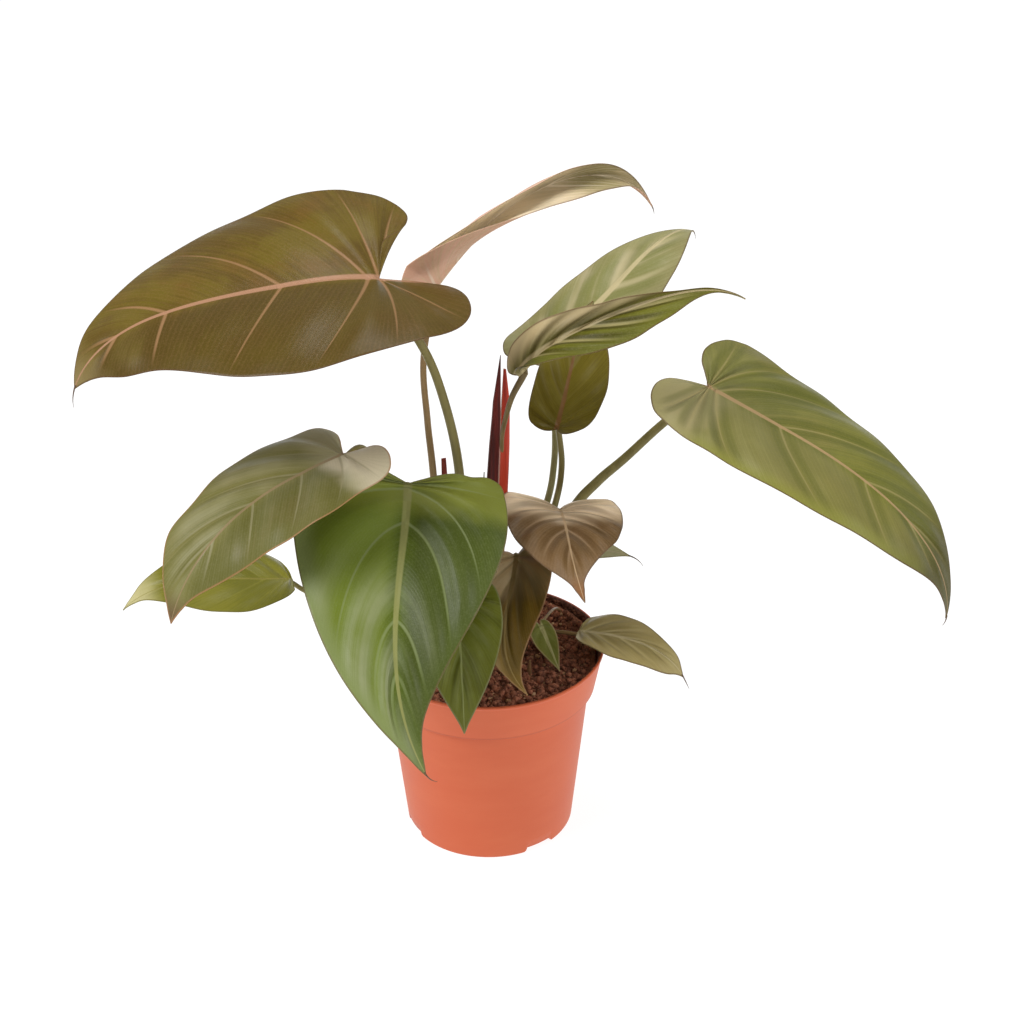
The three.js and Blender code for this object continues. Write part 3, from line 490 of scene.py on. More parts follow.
PLAIN_LEAF = dict(sinus=(0.4, 0.4), belly=0, full=((1, 1, 1), (1, 1, 1)), lobe_bend=(10, 10), size="middle",
                  bow=0.4, dip=0.8, tone="green", hair=None)
LEAVES = {
    "leaf_upper_left": dict(
        base=(-48, -13, 312.5), heading=(203, 190, 193, 216), rise=(16, -6, -16, -65), roll=(-17, -13, -15),
        length=157, width=(68.5, 69), lobe=(34, 27), sinus=(-0.1, 1), belly=0.05,
        full=((1, 1.05, 1.45), (1.12, 1.03, 1.15)), fold=((24, -5), (13, -1)), curl=((-23, -34), (-19, -35)),
        lobe_bend=(-10, -9), quilt=(1.6, 1.6), bow=0.2,
        veins=((0, 0.3, 0.32), (0, 0.41, 0.4), (0.035, 0.5, 0.54), (0.295, 0.61, 0.66), (0.64, 0.73, 0.76),
               (0.8, 0.86)),
        stalk=((-12, 3.5, 104), (-11.5, 2.5, 150), (-13, 0, 206), (-20, -5, 248), (-30, -9, 278)),
        radius=(2.6, 1.9), size="large", dip=1.7, hair=(-1, -1, -9)),
    "leaf_right": dict(
        base=(113, 37, 231), heading=(-28, -28, -3), rise=(-21, -29, -92), roll=(8, 2, 33), length=180,
        width=(52, 54), lobe=(15, 21), sinus=(0.6, 0.3), belly=0.03, full=((0.95, 1, 0.85), (1, 1, 0.8)),
        fold=((6, 6), (12, 1)), curl=((-19, -34), (-9, -29)), lobe_bend=(2, 11), quilt=(1.7, 1.5),
        veins=((0, 0.36, 0.33), (0, 0.45, 0.41), (0.025, 0.55, 0.49), (0.23, 0.66, 0.61), (0.51, 0.75, 0.7),
               (0.67, 0.82, 0.8)),
        stalk=((17, 3, 104), (27, 8, 140), (44.2, 18.8, 171.6), (57, 25.4, 184.2), (71, 30, 195),
               (91, 34, 213)), radius=(3, 1.9), size="large", hair=(-2, -1, -3.5)),
    "leaf_front": dict(
        base=(-37, -34, 216), heading=(-91, -93, -45), rise=(-36, -44, -47), roll=(-8, -1, 1), length=144,
        width=(49, 54), lobe=(9, 12), sinus=(0.7, 0.7), belly=-0.09, full=((1, 0.95, 0.78), (1, 1, 1)),
        fold=((2, 9), (12, 12)), curl=((-25, -5), (-16, -5)), lobe_bend=(25, 17), quilt=(2.4, 2.2), bow=1,
        veins=((0, 0.45, 0.42), (0.02, 0.61, 0.55), (0.14, 0.69, 0.7), (0.48, 0.76, 0.79),
               (0.66, 0.83, 0.86)),
        stalk=((-18.5, -4, 104), (-23, -9, 140), (-30, -19, 180), (-36, -29, 207)), radius=(2.6, 2),
        size="large", hair=(5, -2, -2)),
    "leaf_left": dict(
        base=(-67, -37, 233.8), heading=(211, 208, 212, 203), rise=(-11, -21, -44, -74), roll=(1, -5, -33),
        length=120, width=(42.5, 43), lobe=(14, 8), sinus=(0.4, 0.7), belly=0.02,
        full=((0.98, 0.98, 0.82), (0.9, 1.14, 1.25)), fold=((12, -2), (2, 10)), curl=((-16, -16), (-16, -23)),
        lobe_bend=(-13, 16), quilt=(1.7, 1.6),
        veins=((0, 0.38, 0.42), (0.02, 0.48, 0.55), (0.185, 0.575, 0.67), (0.41, 0.67, 0.76),
               (0.62, 0.77, 0.85)), stalk=((-22, 1, 103), (-31, -2, 140), (-44, -9, 182), (-57, -20, 226)),
        radius=(2.3, 1.7), size="large"),
    "leaf_top": dict(
        base=(-23, 8, 300), heading=(28, 31, 40), rise=(48, 10, -57), roll=(18, 73, 28), length=149,
        width=(21, 25), lobe=(16, 16), full=((0.9, 0.85, 0.8), (1.15, 1.2, 1)), fold=((62, 48), (72, 40)),
        curl=((40, 24), (54, 16)), lobe_bend=(10, 6), quilt=(1, 1),
        veins=((0, 0.42), (0.1, 0.54), (0.28, 0.64), (0.5, 0.73), (0.7, 0.83)),
        stalk=((-20, 7, 104), (-23, 7, 150), (-26, 6, 203), (-28, 6, 230), (-29, 7, 263)), radius=(2, 1.4),
        tone="tan", hair=(1, 0, -4)),
    "leaf_back_right": dict(
        base=(32, 83, 234), heading=(36, 47, 57), rise=(10, 23, -30), roll=(-9, -4, -2), length=132,
        width=(31, 37), lobe=(16, 16), belly=-0.02, full=((0.98, 0.93, 0.72), (1, 1.03, 1.05)),
        fold=((3, 0), (2, -3)), curl=((0, 0), (0, 0)), lobe_bend=(16, 10), quilt=(1.8, 1.5),
        veins=((0, 0.5, 0.46), (0.09, 0.605, 0.56), (0.4, 0.725, 0.68), (0.67, 0.83, 0.81)),
        stalk=((11, 11, 104), (17, 14, 135), (31, 25, 172), (35, 35, 188), (36, 46, 202), (35, 57, 215),
               (33, 70, 226)), radius=(1.9, 1.4), tone="sage", hair=(1, -1, -4)),
    "leaf_folded": dict(
        base=(16, -8, 260), heading=(8, 11, 5, 6), rise=(54, 22, 13, -32), roll=(-5, 57, 4), length=121,
        width=(12.5, 20.5), lobe=(2, -12), belly=0.02, full=((0.72, 0.3, 0.4), (1.25, 1.35, 0.8)),
        fold=((38, 56), (36, 38)), curl=((0, 0), (0, 0)), lobe_bend=(0, 0), quilt=(2.1, 1.4),
        veins=((0.02, 0.47, 0.44), (0.1, 0.545, 0.52), (0.2, 0.62), (0.33, 0.7), (0.46, 0.78)),
        stalk=((8.6, 2.5, 208), (8.4, -2.5, 224), (10.5, -5.5, 237), (13.5, -8.5, 249)), radius=(0.9, 1.8),
        tone="brown"),
    "leaf_back": dict(
        base=(36, 20, 217), heading=(66, 70, 67), rise=(44, 46, 12), roll=(-11, -4, 13), length=74,
        width=(17, 26), lobe=(2, 3), sinus=(0.4, 0.2), belly=0.04, full=((1.1, 1.1, 1), (1, 1, 1)),
        fold=((21, 10), (22, 9)), curl=((-6, -10), (-4, -9)), lobe_bend=(1, 1), quilt=(0.9, 0.9),
        veins=((0, 0.4), (0.04, 0.52), (0.2, 0.63), (0.42, 0.74), (0.64, 0.84)),
        stalk=((15.5, 9.5, 104), (23, 14, 137), (35, 19, 174), (38.5, 20, 196)), radius=(1.9, 1.4)),
    "leaf_centre": dict(
        base=(37, 4, 180), heading=(-80, -86, -70), rise=(-1, -3, -39), roll=(-7, -1, 8), length=76,
        width=(29, 32), lobe=(9, 9), sinus=(0.5, 0.4), belly=-0.03,
        full=((1.05, 0.85, 0.5), (1.04, 0.97, 0.68)), fold=((16, 3), (20, 0)), curl=((-12, -19), (-7, -20)),
        lobe_bend=(43, 29), quilt=(1.8, 1.7),
        veins=((0, 0.42, 0.4), (0.02, 0.53, 0.52), (0.1, 0.63, 0.62), (0.29, 0.71), (0.55, 0.8)),
        stalk=((9.5, -2, 104), (15, 3, 125), (27, 9, 150), (36, 9, 170)), radius=(1.8, 1.4)),
    "leaf_low_front": dict(
        base=(15, -6, 159), heading=(-94, -96, -40), rise=(-21, -25, -28), roll=(17, -5, 0), length=84,
        width=(20, 21), lobe=(6, 4), belly=-0.02, fold=((15, 8), (13, 8)), curl=((-10, -9), (-11, -9)),
        quilt=(1.4, 1.4), veins=((0, 0.45), (0.03, 0.6), (0.15, 0.72), (0.4, 0.83)),
        stalk=((2.5, -3.5, 104), (6, -5, 125), (12, -3, 148), (14.5, -1.5, 157)), radius=(1.4, 1.1)),
    "leaf_far_left": dict(
        base=(-100, 16, 135), heading=(189, 189, 184), rise=(3, 1, -46), roll=(14, -12, -3), length=91,
        width=(32, 27), lobe=(-2, -5), belly=0.01, full=((1, 0.9, 0.65), (1.1, 1.1, 1.3)),
        fold=((11, 5), (11, 12)), curl=((-12, -10), (-16, -8)), lobe_bend=(0, 0), quilt=(1.1, 1),
        veins=((0, 0.4), (0.03, 0.52), (0.16, 0.63), (0.38, 0.74), (0.62, 0.84)),
        stalk=((-33, 10, 88), (-38, 11, 103), (-60, 13, 114), (-80, 15, 121), (-94, 16, 128)),
        radius=(1.5, 1.2)),
    "leaf_lower_front": dict(
        base=(-14, -49, 162), heading=(-88, -85, -85), rise=(-55, -64, -82), roll=(-1, 4, -1), length=68,
        width=(21, 21), lobe=(9, 9), fold=((15, 8), (15, 8)), curl=((-9, -9), (-10, -10)), quilt=(1.3, 1.3),
        veins=((0, 0.4), (0.03, 0.52), (0.16, 0.63), (0.38, 0.74), (0.62, 0.84)),
        stalk=((-11, -4.5, 104), (-10, -14, 128), (-12, -31, 154), (-14, -42, 162)), radius=(1.6, 1.2),
        size="small"),
    "leaf_low_right": dict(
        base=(47, 3, 109), heading=(-14, -17, -16), rise=(0, -13, -63), roll=(-7, 11, 19), length=62,
        width=(18, 21), lobe=(-3, -3), belly=0.03, full=((0.86, 0.85, 1.15), (1.05, 1.25, 1.7)),
        fold=((12, 12), (16, 0)), curl=((-24, -10), (-1, -13)), lobe_bend=(0, 0), quilt=(1, 1),
        veins=((0, 0.42), (0.04, 0.56, 0.54), (0.14, 0.68, 0.64), (0.34, 0.8, 0.75), (0.6, 0.9, 0.86)),
        stalk=((25, 17, 88), (28, 14, 99), (36, 8, 105.5)), radius=(1.2, 1.05), size="small", tone="tan",
        hair=(3, -2, -6)),
    "leaf_behind": dict(
        base=(34, 30, 143), heading=(-3, -3, -2), rise=(3, -5, -20), roll=(4, 10, 10), length=42,
        width=(12, 12), lobe=(5, 5), fold=((14, 9), (13, 6)), curl=((-10, -10), (-10, -11)), quilt=(0.6, 0.6),
        veins=((0, 0.42), (0.08, 0.58), (0.36, 0.75)), stalk=((20, 27, 88), (22, 28, 108), (27, 30, 131)),
        radius=(1.2, 0.9), size="small", hair=(6, 0, -6)),
    "leaf_smallest": dict(
        base=(27, -2, 116), heading=(-64, -66, -62), rise=(-30, -34, -42), roll=(-10, 4, 0), length=27,
        width=(6, 8), lobe=(3, 3), fold=((12, 8), (13, 6)), curl=((-10, -10), (-8, -10)), quilt=(0.3, 0.3),
        veins=((0, 0.42), (0.08, 0.58), (0.36, 0.75)),
        stalk=((39, 37, 88), (38.6, 35, 101), (35.5, 24, 110), (31, 9, 115)), radius=(0.8, 0.7), size="small",
        tone="tan"),
}

# Rows round half the outline, and columns from the midrib to the margin
GRIDS = {"large": (201, 42), "middle": (157, 31), "small": (121, 24)}


def forward_at(leaf, q):
    """The direction of the midrib at shares q."""
    heading, rise = (np.radians(through(leaf[key], q)) for key in ("heading", "rise"))
    return np.stack([np.cos(rise) * np.cos(heading), np.cos(rise) * np.sin(heading), np.sin(rise)], -1)


def midrib_of(leaf):
    """Points in equal steps along the midrib, each step in its own direction."""
    q = (np.arange(MIDRIB_STEPS) + 0.5) / MIDRIB_STEPS
    steps = forward_at(leaf, q) * leaf["length"] / MIDRIB_STEPS
    return np.vstack([leaf["base"], leaf["base"] + np.cumsum(steps, axis=0)])


def frame_at(leaf, q):
    """Midrib point, forward, right and up at shares q. Up and right turn about forward
    by the roll."""
    midrib = midrib_of(leaf)
    ticks = np.linspace(0, 1, MIDRIB_STEPS + 1)
    point = np.stack([np.interp(q, ticks, midrib[:, k]) for k in range(3)], -1)
    forward = forward_at(leaf, q)
    heading, roll = (np.radians(through(leaf[key], q)) for key in ("heading", "roll"))
    roll = roll[..., None]
    level = np.stack([np.sin(heading), -np.cos(heading), np.zeros_like(heading)], -1)
    above = np.cross(level, forward)
    up = above * np.cos(roll) + level * np.sin(roll)
    right = level * np.cos(roll) - above * np.sin(roll)
    return point, forward, right, up


def outline_at(leaf, k, u):
    """Half of the flat outline: x in lengths along the midrib, y in half-widths."""
    lobe, sinus, belly = leaf["lobe"][k] / leaf["length"], leaf["sinus"][k], leaf["belly"]
    middle, late, tip = leaf["full"][k]
    opening, slack = max(sinus - 0.5, 0), min(belly, 0)
    back = (0.7 * opening - 0.5, 1.15 * opening - 0.9, 0.35 * opening - 1, -0.3 * opening - 0.8,
            -0.5 * opening - 0.3)
    if lobe < 0:
        back = (-0.05, -0.12, -0.25, -0.5, -0.8)
    corner = 0.06 * max(1 - abs(lobe) / 0.07, 0) * (lobe > 0)
    out = (0.03 + 0.2 * sinus, 0.14 + 0.24 * sinus, 0.36 + 0.18 * sinus, 0.65 + 0.06 * sinus + 0.6 * slack,
           0.87 + 0.02 * sinus + 0.6 * slack)
    front = ((0.07, 1, 0.985), (0.22, 1, 1), (0.38, 0.8, 0.45 * (1 + middle)), (0.54, 0.6, 0.715 * middle),
             (0.7, 0.4, 0.475 * late), (0.84, 0.2, 0.235 * tip), (0.92, 0.1, 0.105 * tip),
             (0.965, 0, 0.045 * tip), (1, 0, 0))
    corners = [(0, 0), *((lobe * x, y) for x, y in zip(back[:3], out)),
               (lobe * back[3] + 0.35 * corner, out[3]), (lobe * back[4] + corner + 0.5 * slack, out[4]),
               *((x + shift * belly, y) for x, shift, y in front)]
    place = smooth_curve(corners, u)
    return place[..., 0], np.maximum(place[..., 1], 0)


def half_blade(leaf, side, rows, columns):
    """Both faces of one half, as sections that run over the top from the midrib, round
    the margin and back underneath: points, faces, charts and measures.

    Each row has an order: whole numbers are side veins, and the fields lie between them.
    The flat place of (order, v) is a quadratic curve from the branching point on the midrib
    to the outline. Across, it turns by the fold and then by the curl, as an arc does. Lobes
    behind the stalk bend down in an arc too.
    """
    k = 0 if side < 0 else 1
    length, width = leaf["length"], leaf["width"][k]
    veins = np.array([(foot, *ends, ends[-1])[:3] for foot, *ends in leaf["veins"]])
    marks = np.arange(len(veins) + 2)
    order = np.interp(np.linspace(0, 1, rows), np.r_[0, veins[:, 1:].mean(axis=1), 1], marks)
    order, v = np.meshgrid(order, np.linspace(0, 1, columns) ** 0.92, indexing="ij")
    branch = np.interp(order, marks, np.r_[0, veins[:, 0], 1])
    edge_x, edge_y = outline_at(leaf, k, np.interp(order, marks, np.r_[0, veins[:, 1 + k], 1]))
    bow = 0.35 * leaf["bow"]
    along = length * bent_curve(branch, branch + (0.5 - bow) * (edge_x - branch), edge_x, v)
    across = width * edge_y * (2 * v * (1 - v) * (0.5 + bow) + v * v)
    q = np.clip(along / length, 0, 1)
    point, forward, right, up = frame_at(leaf, q)
    start, bend = (np.radians(at_base + (at_tip - at_base) * q) for at_base, at_tip in (leaf["fold"][k],
                                                                                     leaf["curl"][k]))
    bend = np.where(np.abs(bend / width) < TINY, TINY, bend / width)
    turn = start + bend * across
    sink = math.radians(leaf["lobe_bend"][k]) / leaf["lobe"][k] or TINY
    tilt = sink * np.maximum(-along, 0)
    place = (point + right * (side * (np.sin(turn) - np.sin(start)) / bend)[..., None]
             + up * ((np.cos(start) - np.cos(turn)) / bend)[..., None]
             - forward * (np.sin(tilt) / sink)[..., None] - up * ((1 - np.cos(tilt)) / sink)[..., None])
    out = up * np.cos(tilt)[..., None] - forward * np.sin(tilt)[..., None]
    out = out * np.cos(turn)[..., None] - right * (side * np.sin(turn))[..., None]

    # Distances over the bent blade, from vein to vein and to the margin
    step_u = np.gradient(place, axis=0) / np.gradient(order, axis=0)[..., None]
    step_v = unit(np.gradient(place, axis=1))
    apart = np.linalg.norm(step_u - step_v * dot(step_u, step_v)[..., None], axis=-1)
    row_length = np.cumsum(np.linalg.norm(np.diff(place, axis=1, prepend=place[:, :1]), axis=-1), axis=1)
    lean = np.linalg.norm(np.cross(unit(step_u[:, -1:]), step_v[:, -1:]), axis=-1)
    rim = (row_length[:, -1:] - row_length) * np.clip(lean, 0.25, 1)

    nearest = np.abs((order + 0.5) % 1 - 0.5)
    bulge = np.sin(np.pi * order) ** 2 * np.sin(0.85 * np.pi * v) * np.clip(edge_y, 0, 1)
    furrow = np.exp(-((nearest * apart) / FURROW_WIDTH) ** 2)
    furrow = furrow * fade(rim, 0.5, 12) * fade(np.abs(across), 0.3, 3.0)
    rib_half = length / 90 * (1.12 - q)
    ridge = np.exp(-(across / np.maximum(rib_half, 0.2)) ** 2)
    relief = (leaf["quilt"][k] * bulge - FURROW_DEPTH * furrow + RIB_HEIGHT * ridge * (1 - 0.7 * q)
              + WAVE_HEIGHT * value_noise(place, WAVE_SIZE, 3) * fade(np.abs(across), 2, 20))
    thick = BLADE_THICKNESS - MARGIN_THINNING * fade(rim, 6, 0) - 0.15 * (length < 50)
    keel = np.sqrt(np.maximum(1 - (across / np.maximum(1.3 * rib_half, 0.2)) ** 2, 0))
    keel = length / 85 * (1 - 0.8 * q) * keel
    top = place + out * relief[..., None]
    low = place + out * (relief - thick - keel)[..., None]
    outward = unit(np.cross(step_u[:, -1], out[:, -1])) * side
    outward = np.where(dot(outward, step_v[:, -1])[:, None] < 0, -outward, outward)
    edge = ((top[:, -1] + low[:, -1]) / 2 + outward * MARGIN_ROUNDING)[:, None]
    points = np.concatenate([top, edge, low[:, ::-1]], axis=1)

    def flat(a):
        """Numbers of the half's places, for the top, the margin and the underside."""
        return np.concatenate([a, a[:, -1:], a[:, ::-1]], axis=1).ravel()

    below = np.tile(np.repeat([0, 0.5, 1], [columns, 1, columns]), rows)
    measures = dict(zip(MEASURES, (flat(apart), flat(rim), flat(along / length), below)))
    return (points.reshape(-1, 3), grid_faces(rows, 2 * columns + 1)[:, ::side],
            np.stack([flat(order), flat(side * across)], -1), measures)


def leaf_piece(name, leaf, finishes):
    """Both halves of the blade, which share their points on the midline, the stalk, which
    ends under the blade's foot, and the dry hair, which starts a little inside the tip."""
    parts = [(*half_blade(leaf, side, *GRIDS[leaf["size"]]), 0) for side in (-1, 1)]
    point, forward, right, up = (a[0] for a in frame_at(leaf, np.array([0.0])))
    foot, top = leaf["radius"]
    way = [*leaf["stalk"], point - up * (1.1 * top + leaf["dip"]),
           point + forward * 0.04 * leaf["length"] - up * (0.6 * top + leaf["dip"])]
    t = np.linspace(0, 1, 70 if leaf["length"] > 50 else 40)
    radii = np.where(t < 0.92, foot + (top - foot) * t / 0.92, top * (1 - 0.6 * (t - 0.92) / 0.08))
    radii = radii * (1 + 0.18 * fade(t, 0.12, 0))
    parts.append((*tube(smooth_curve(way, t), radii, 20 if foot > 1.5 else 14), {}, 1))
    if leaf["hair"]:
        point, forward = (a[0] for a in frame_at(leaf, np.array([1.0]))[:2])
        t = np.linspace(0, 1, 16)
        bend = point + forward * np.linalg.norm(leaf["hair"]) * 0.5
        path = bent_curve(point - forward * 1.5, bend, point + leaf["hair"], t[:, None])
        parts.append((*tube(path, 0.42 - 0.34 * t, 8), {}, 2))
    points, faces, charts, measures, kinds = zip(*parts)
    starts = np.cumsum([0, *map(len, points)])
    kinds = np.repeat(kinds, [len(f) for f in faces])
    faces = np.vstack([f + start for f, start in zip(faces, starts)])
    measures = {key: np.concatenate([m.get(key, np.zeros(len(p))) for m, p in zip(measures, points)])
                for key in MEASURES}
    piece_of(name + "_fine", np.vstack(points), faces, finishes, name, np.vstack(charts), measures,
             kinds)


SKINS = {
    # tip: a painted highlight
    "leaf_upper_left": dict(
        colours=(0x56430f, 0x635415, 0xa97e62, 0x97724e, 0x8a6a50), warm=(0x67481a, 0.6),
        left=(0x4a3a0c, 0.7), tip=(0x8a7a50, 0.85), painted_sheen=(0x84763e, 0.5, 0.3, 0.5, 1), rib_width=2.7,
        vein_width=1, vein_share=0.85, gloss=0.36, shine=0.22, lines=16, fine=0.2),
    # base and right: painted highlights, a tan gloss near the notch and on the near half; edge is the leaf's
    # own colour
    "leaf_right": dict(
        colours=(0x62632a, 0x6f6f2c, 0xa58860, 0x948858, 0x7c6a40), warm=(0x7a6e36, 0.4),
        base=(0xa89c74, 0.1, 0.6, 0.12), right=(0x7c7440, 0.5), edge=(0x8a8c34, 0, 0.45, 13),
        furrow=(0x4f5418, 0.4, 4), painted_sheen=(0x8f8a5c, 0.3, 0.5, 0.6, 0.1), rib_width=1.8, shine=0.2,
        tip=(0x504c1c, 0.65), lines=16, relief=6),
    # Painted light and shade: right, the half on the camera's left, is lighter and left darker, by how the
    # lamps fall; edge and sheen are painted highlights
    "leaf_front": dict(
        colours=(0x48560f, 0x57661a, 0x8e8e54, 0x8a9464, 0x56693b), margin=0x6b5c3a, left=(0x3a430e, 0.7),
        right=(0x74822c, 0.75), base=(0x8a9038, 0.7, 0.6, 0.15), edge=(0x98a078, 0.05, 0.36, 13),
        painted_sheen=(0xb2b298, 0.15, 0.6, 0.2, 0.55), rib_width=2.3, gloss=0.36, shine=0.22, fine=0.2, lines=22,
        relief=7),
    # base: a painted highlight near the notch
    "leaf_left": dict(
        colours=(0x6c6a30, 0x7b7740, 0x94805c, 0x9c9672, 0x6a6244), warm=(0x84744c, 0.4),
        left=(0x585824, 0.5), base=(0xd8ceb0, 0.85, 0.25, 0.14), painted_sheen=(0xb0ac88, 0.1, 0.5, -0.5, 0.1),
        margin=0xa87850, tip=(0x6a5238, 0.86), gloss=0.4, lines=16, relief=4),
    # base: painted light in the shaded gutter between the folded halves
    "leaf_top": dict(
        colours=(0xc0a980, 0x94875a, 0xe4d4bc, 0xe0d2b8, 0xd4a68c), warm=(0xd0b898, 0.6),
        base=(0xf4e6cc, 0.85, 0.85, 0.7), rib_width=1, vein_share=0.9, gloss=0.4, lines=5, fine=0.9),
    "leaf_back_right": dict(
        colours=(0x847e4e, 0x8e8a5c, 0xb8aa80, 0xb4a880, 0x8d8a62), warm=(0xaea080, 0.6),
        furrow=(0x6c7030, 0.6, 7), rib_width=3.2, vein_width=2.6, gloss=0.42, relief=6, fine=0.2),
    "leaf_folded": dict(
        colours=(0x545214, 0x66641c, 0xb8a880, 0xa89c70, 0x8a8157), left=(0xc0ac84, 0.85),
        right=(0x5c6216, 0.4), furrow=(0x3c3410, 0.65, 2.2), rib_width=2.4, vein_width=1.3, vein_share=0.7,
        gloss=0.4, shine=0.15, relief=6, fine=0.2),
    "leaf_back": dict(
        colours=(0x5d520c, 0x6e6318, 0x7a5630, 0x7c6e38, 0x4f4530), margin=0x5e4c28, vein_share=0.2,
        rib_width=1.7, gloss=0.4, shine=0.2, tip=(0x8f8c5c, 0.86)),
    # base: painted light on the lobes, which lie in the shadow of other leaves
    "leaf_centre": dict(
        colours=(0x5e4520, 0x745834, 0xb09470, 0xa88e6e, 0x6d5540), base=(0xf4dcb8, 0.95, 0.9, 0.32),
        tip=(0x8a5626, 0.8), rib_width=1, vein_share=0.4, gloss=0.36, shine=0.35, furrow=(0x5a401c, 0.5, 2.5),
        relief=6),
    # right and base: painted light on the half that lies in leaf_front's shadow
    "leaf_low_front": dict(
        colours=(0x5c460c, 0x6e5618, 0x8a7444, 0x86744c, 0x6b5434), warm=(0x84541e, 0.5),
        right=(0xb89c68, 0.6), base=(0xf0d8ac, 0.15, 0.95, 0.4), margin=0x96714c, vein_share=0.4, shine=0.2),
    # tip: a painted highlight
    "leaf_far_left": dict(
        colours=(0x6f6d16, 0x7f7b24, 0x8a8038, 0x8c8838, 0x7c8040), margin=0x6a6026, tip=(0xc4bc88, 0.7),
        vein_share=0.35, rib_width=1, shine=0.3),
    "leaf_lower_front": dict(
        colours=(0x5a5c12, 0x6a6e1e, 0x8c9054, 0x787f48, 0x4f6036), margin=0x7c7a50, vein_share=0.45,
        rib_width=1, relief=6, painted_sheen=(0x8a9070, 0.2, 0.25, 0.2, 0.6)),
    "leaf_low_right": dict(
        colours=(0xaa9860, 0xb6a66e, 0xc4b68a, 0xc0b486, 0x6d6a48), vein_share=0.5, furrow=(0x847540, 0.5, 3),
        relief=5),
    "leaf_behind": dict(
        colours=(0xb0ac80, 0xbcb890, 0xbfb492, 0xbcb692, 0x8f9068), margin=0x8a8058, vein_share=0.4,
        gloss=0.45),
    "leaf_smallest": dict(
        colours=(0x6c7028, 0x7c8036, 0xb4b078, 0x90966a, 0x55603a), margin=0xb49c70, vein_share=0.4,
        relief=5),
}

TONES = {"green": (0x857b46, 0x685d2e), "tan": (0xa08256, 0x7e643a), "sage": (0xa09a6a, 0x827c4c),
         "brown": (0x6a5832, 0x96825a)}
stalk_skins = {tone: stalk_finish(tone + "_stalk", *colours) for tone, colours in TONES.items()}
dry_hair = stalk_finish("dry_hair", 0x6a5240, 0x4a3a2c)
for name, values in LEAVES.items():
    leaf = {**PLAIN_LEAF, **values}
    leaf_piece(name, leaf, [blade_finish(name + "_skin", **SKINS[name]), stalk_skins[leaf["tone"]], dry_hair])

# Crowns: turned about an upright line through (x, y), with a profile of (height, radius)

CROWNS = {
    "crown_left": ((-16, 2.5), ((80, 6), (88, 8.5), (98, 11), (105, 11.4), (111, 9.5), (115, 5.5))),
    "crown_right": ((8.8, 4), ((80, 6.5), (88, 9), (98, 11.6), (106, 12.2), (112, 10.4), (117, 6))),
}


def crown_piece(name, centre, profile):
    """A turned form whose radius follows the profile, with shallow waves round it."""
    heights, radii = np.array([*profile, (profile[-1][0] + 1.5, 0)], float).T
    rings, turns = 60, 64
    t = np.linspace(0, 1, rings)
    z = np.interp(t, np.linspace(0, 1, len(heights)), heights)[:, None]
    radius = np.clip(smooth_curve(radii[:, None], t), 0, None)
    radius[0] = 0
    angle = full_turn(turns)
    wave = 1 + 0.05 * np.cos(3 * angle + 0.08 * z) + 0.015 * np.sin(17 * angle + 0.3 * z)
    points = turned(radius * wave * 0.97, z, angle) + (*centre, 0)
    piece_of(name + "_fine", points, grid_faces(rings, turns, True), [crown_skin], name)


crown_skin = stalk_finish("crown_skin", 0x6b5a38, 0x4c3c26, 0.8, 0.7)
for name, (centre, profile) in CROWNS.items():
    crown_piece(name, centre, profile)

# Sheaths that wrapped the young leaves. line runs from foot to tip, and out and deep are
# half the breadth and half the depth at equal steps along it. colours are the main and the
# dark one, the seam's and the gloss.

SHEATHS = {
    "sheath_maroon": dict(
        line=((2.35, 5, 104), (4.75, 4, 160), (6.85, 2.6, 205), (7.9, 2.2, 235), (8.3, 2, 266)),
        out=(3.5, 5.8, 6.2, 5.3, 3.9, 0.35), deep=(2.6, 3.6, 3.7, 3.3, 2.4, 0.3),
        colours=(0x480f08, 0x7a2418, 0xd9a79a, 0.25)),
    "sheath_red": dict(
        side=1, line=((2.45, 5, 104), (4.85, 4, 160), (6.95, 2.6, 205), (8, 2.2, 235), (9.4, 2, 258.5)),
        out=(2.7, 4.4, 4.8, 4.8, 4.3, 1.4), deep=(2.4, 3.3, 3.5, 3.2, 2.6, 1.0),
        colours=(0xc2402a, 0x96291a, 0xe7b9a4, 0.28)),
    "sheath_scale": dict(
        line=((-2.4, 6, 104), (-1.9, 6, 150), (-0.3, 6, 200.5)), out=(1.8, 2.2, 1.9, 0.5),
        deep=(2.2, 2.8, 2.2, 0.5), colours=(0x6a5a34, 0x4b3a26, 0x6a5a34, 0.5)),
    "sheath_left": dict(
        line=((-13.2, 9.5, 103), (-16.5, 10, 150), (-19.4, 10, 206.5)), out=(2.8, 3.8, 4.4, 2.4),
        deep=(2.1, 2.4, 2.2, 0.8), colours=(0x9c4438, 0x6f2a26, 0x8f3a30, 0.4)),
    "sheath_dry": dict(
        line=((22.2, -20, 91), (22, -20.5, 99), (21.6, -22, 107.5)), out=(2.4, 2.8, 2.2, 0.7),
        deep=(1.3, 1.5, 1.2, 0.6), colours=(0xb08a62, 0x8d6a48, 0xb08a62, 0.7)),
}


def sheath_finish(name, main, dark, edge, gloss):
    """Sheath skin: long streaks of two colours, with a paler line where the halves meet."""
    s = Finish(name, Specular_IOR_Level=0.2)
    around = s.chart()[0]
    place = s.place()
    long = s.noise(s.stretched(place, (420, 420, 22)), 1, 4)
    colour = s.tinted(s.blend(long.rise(0.35, 0.7), main, dark), (around.rise(0.09, 0), edge))
    return s.wear(colour, long * 0.2 + gloss, long + s.noise(place, 1500) * 0.2, 0.0002)


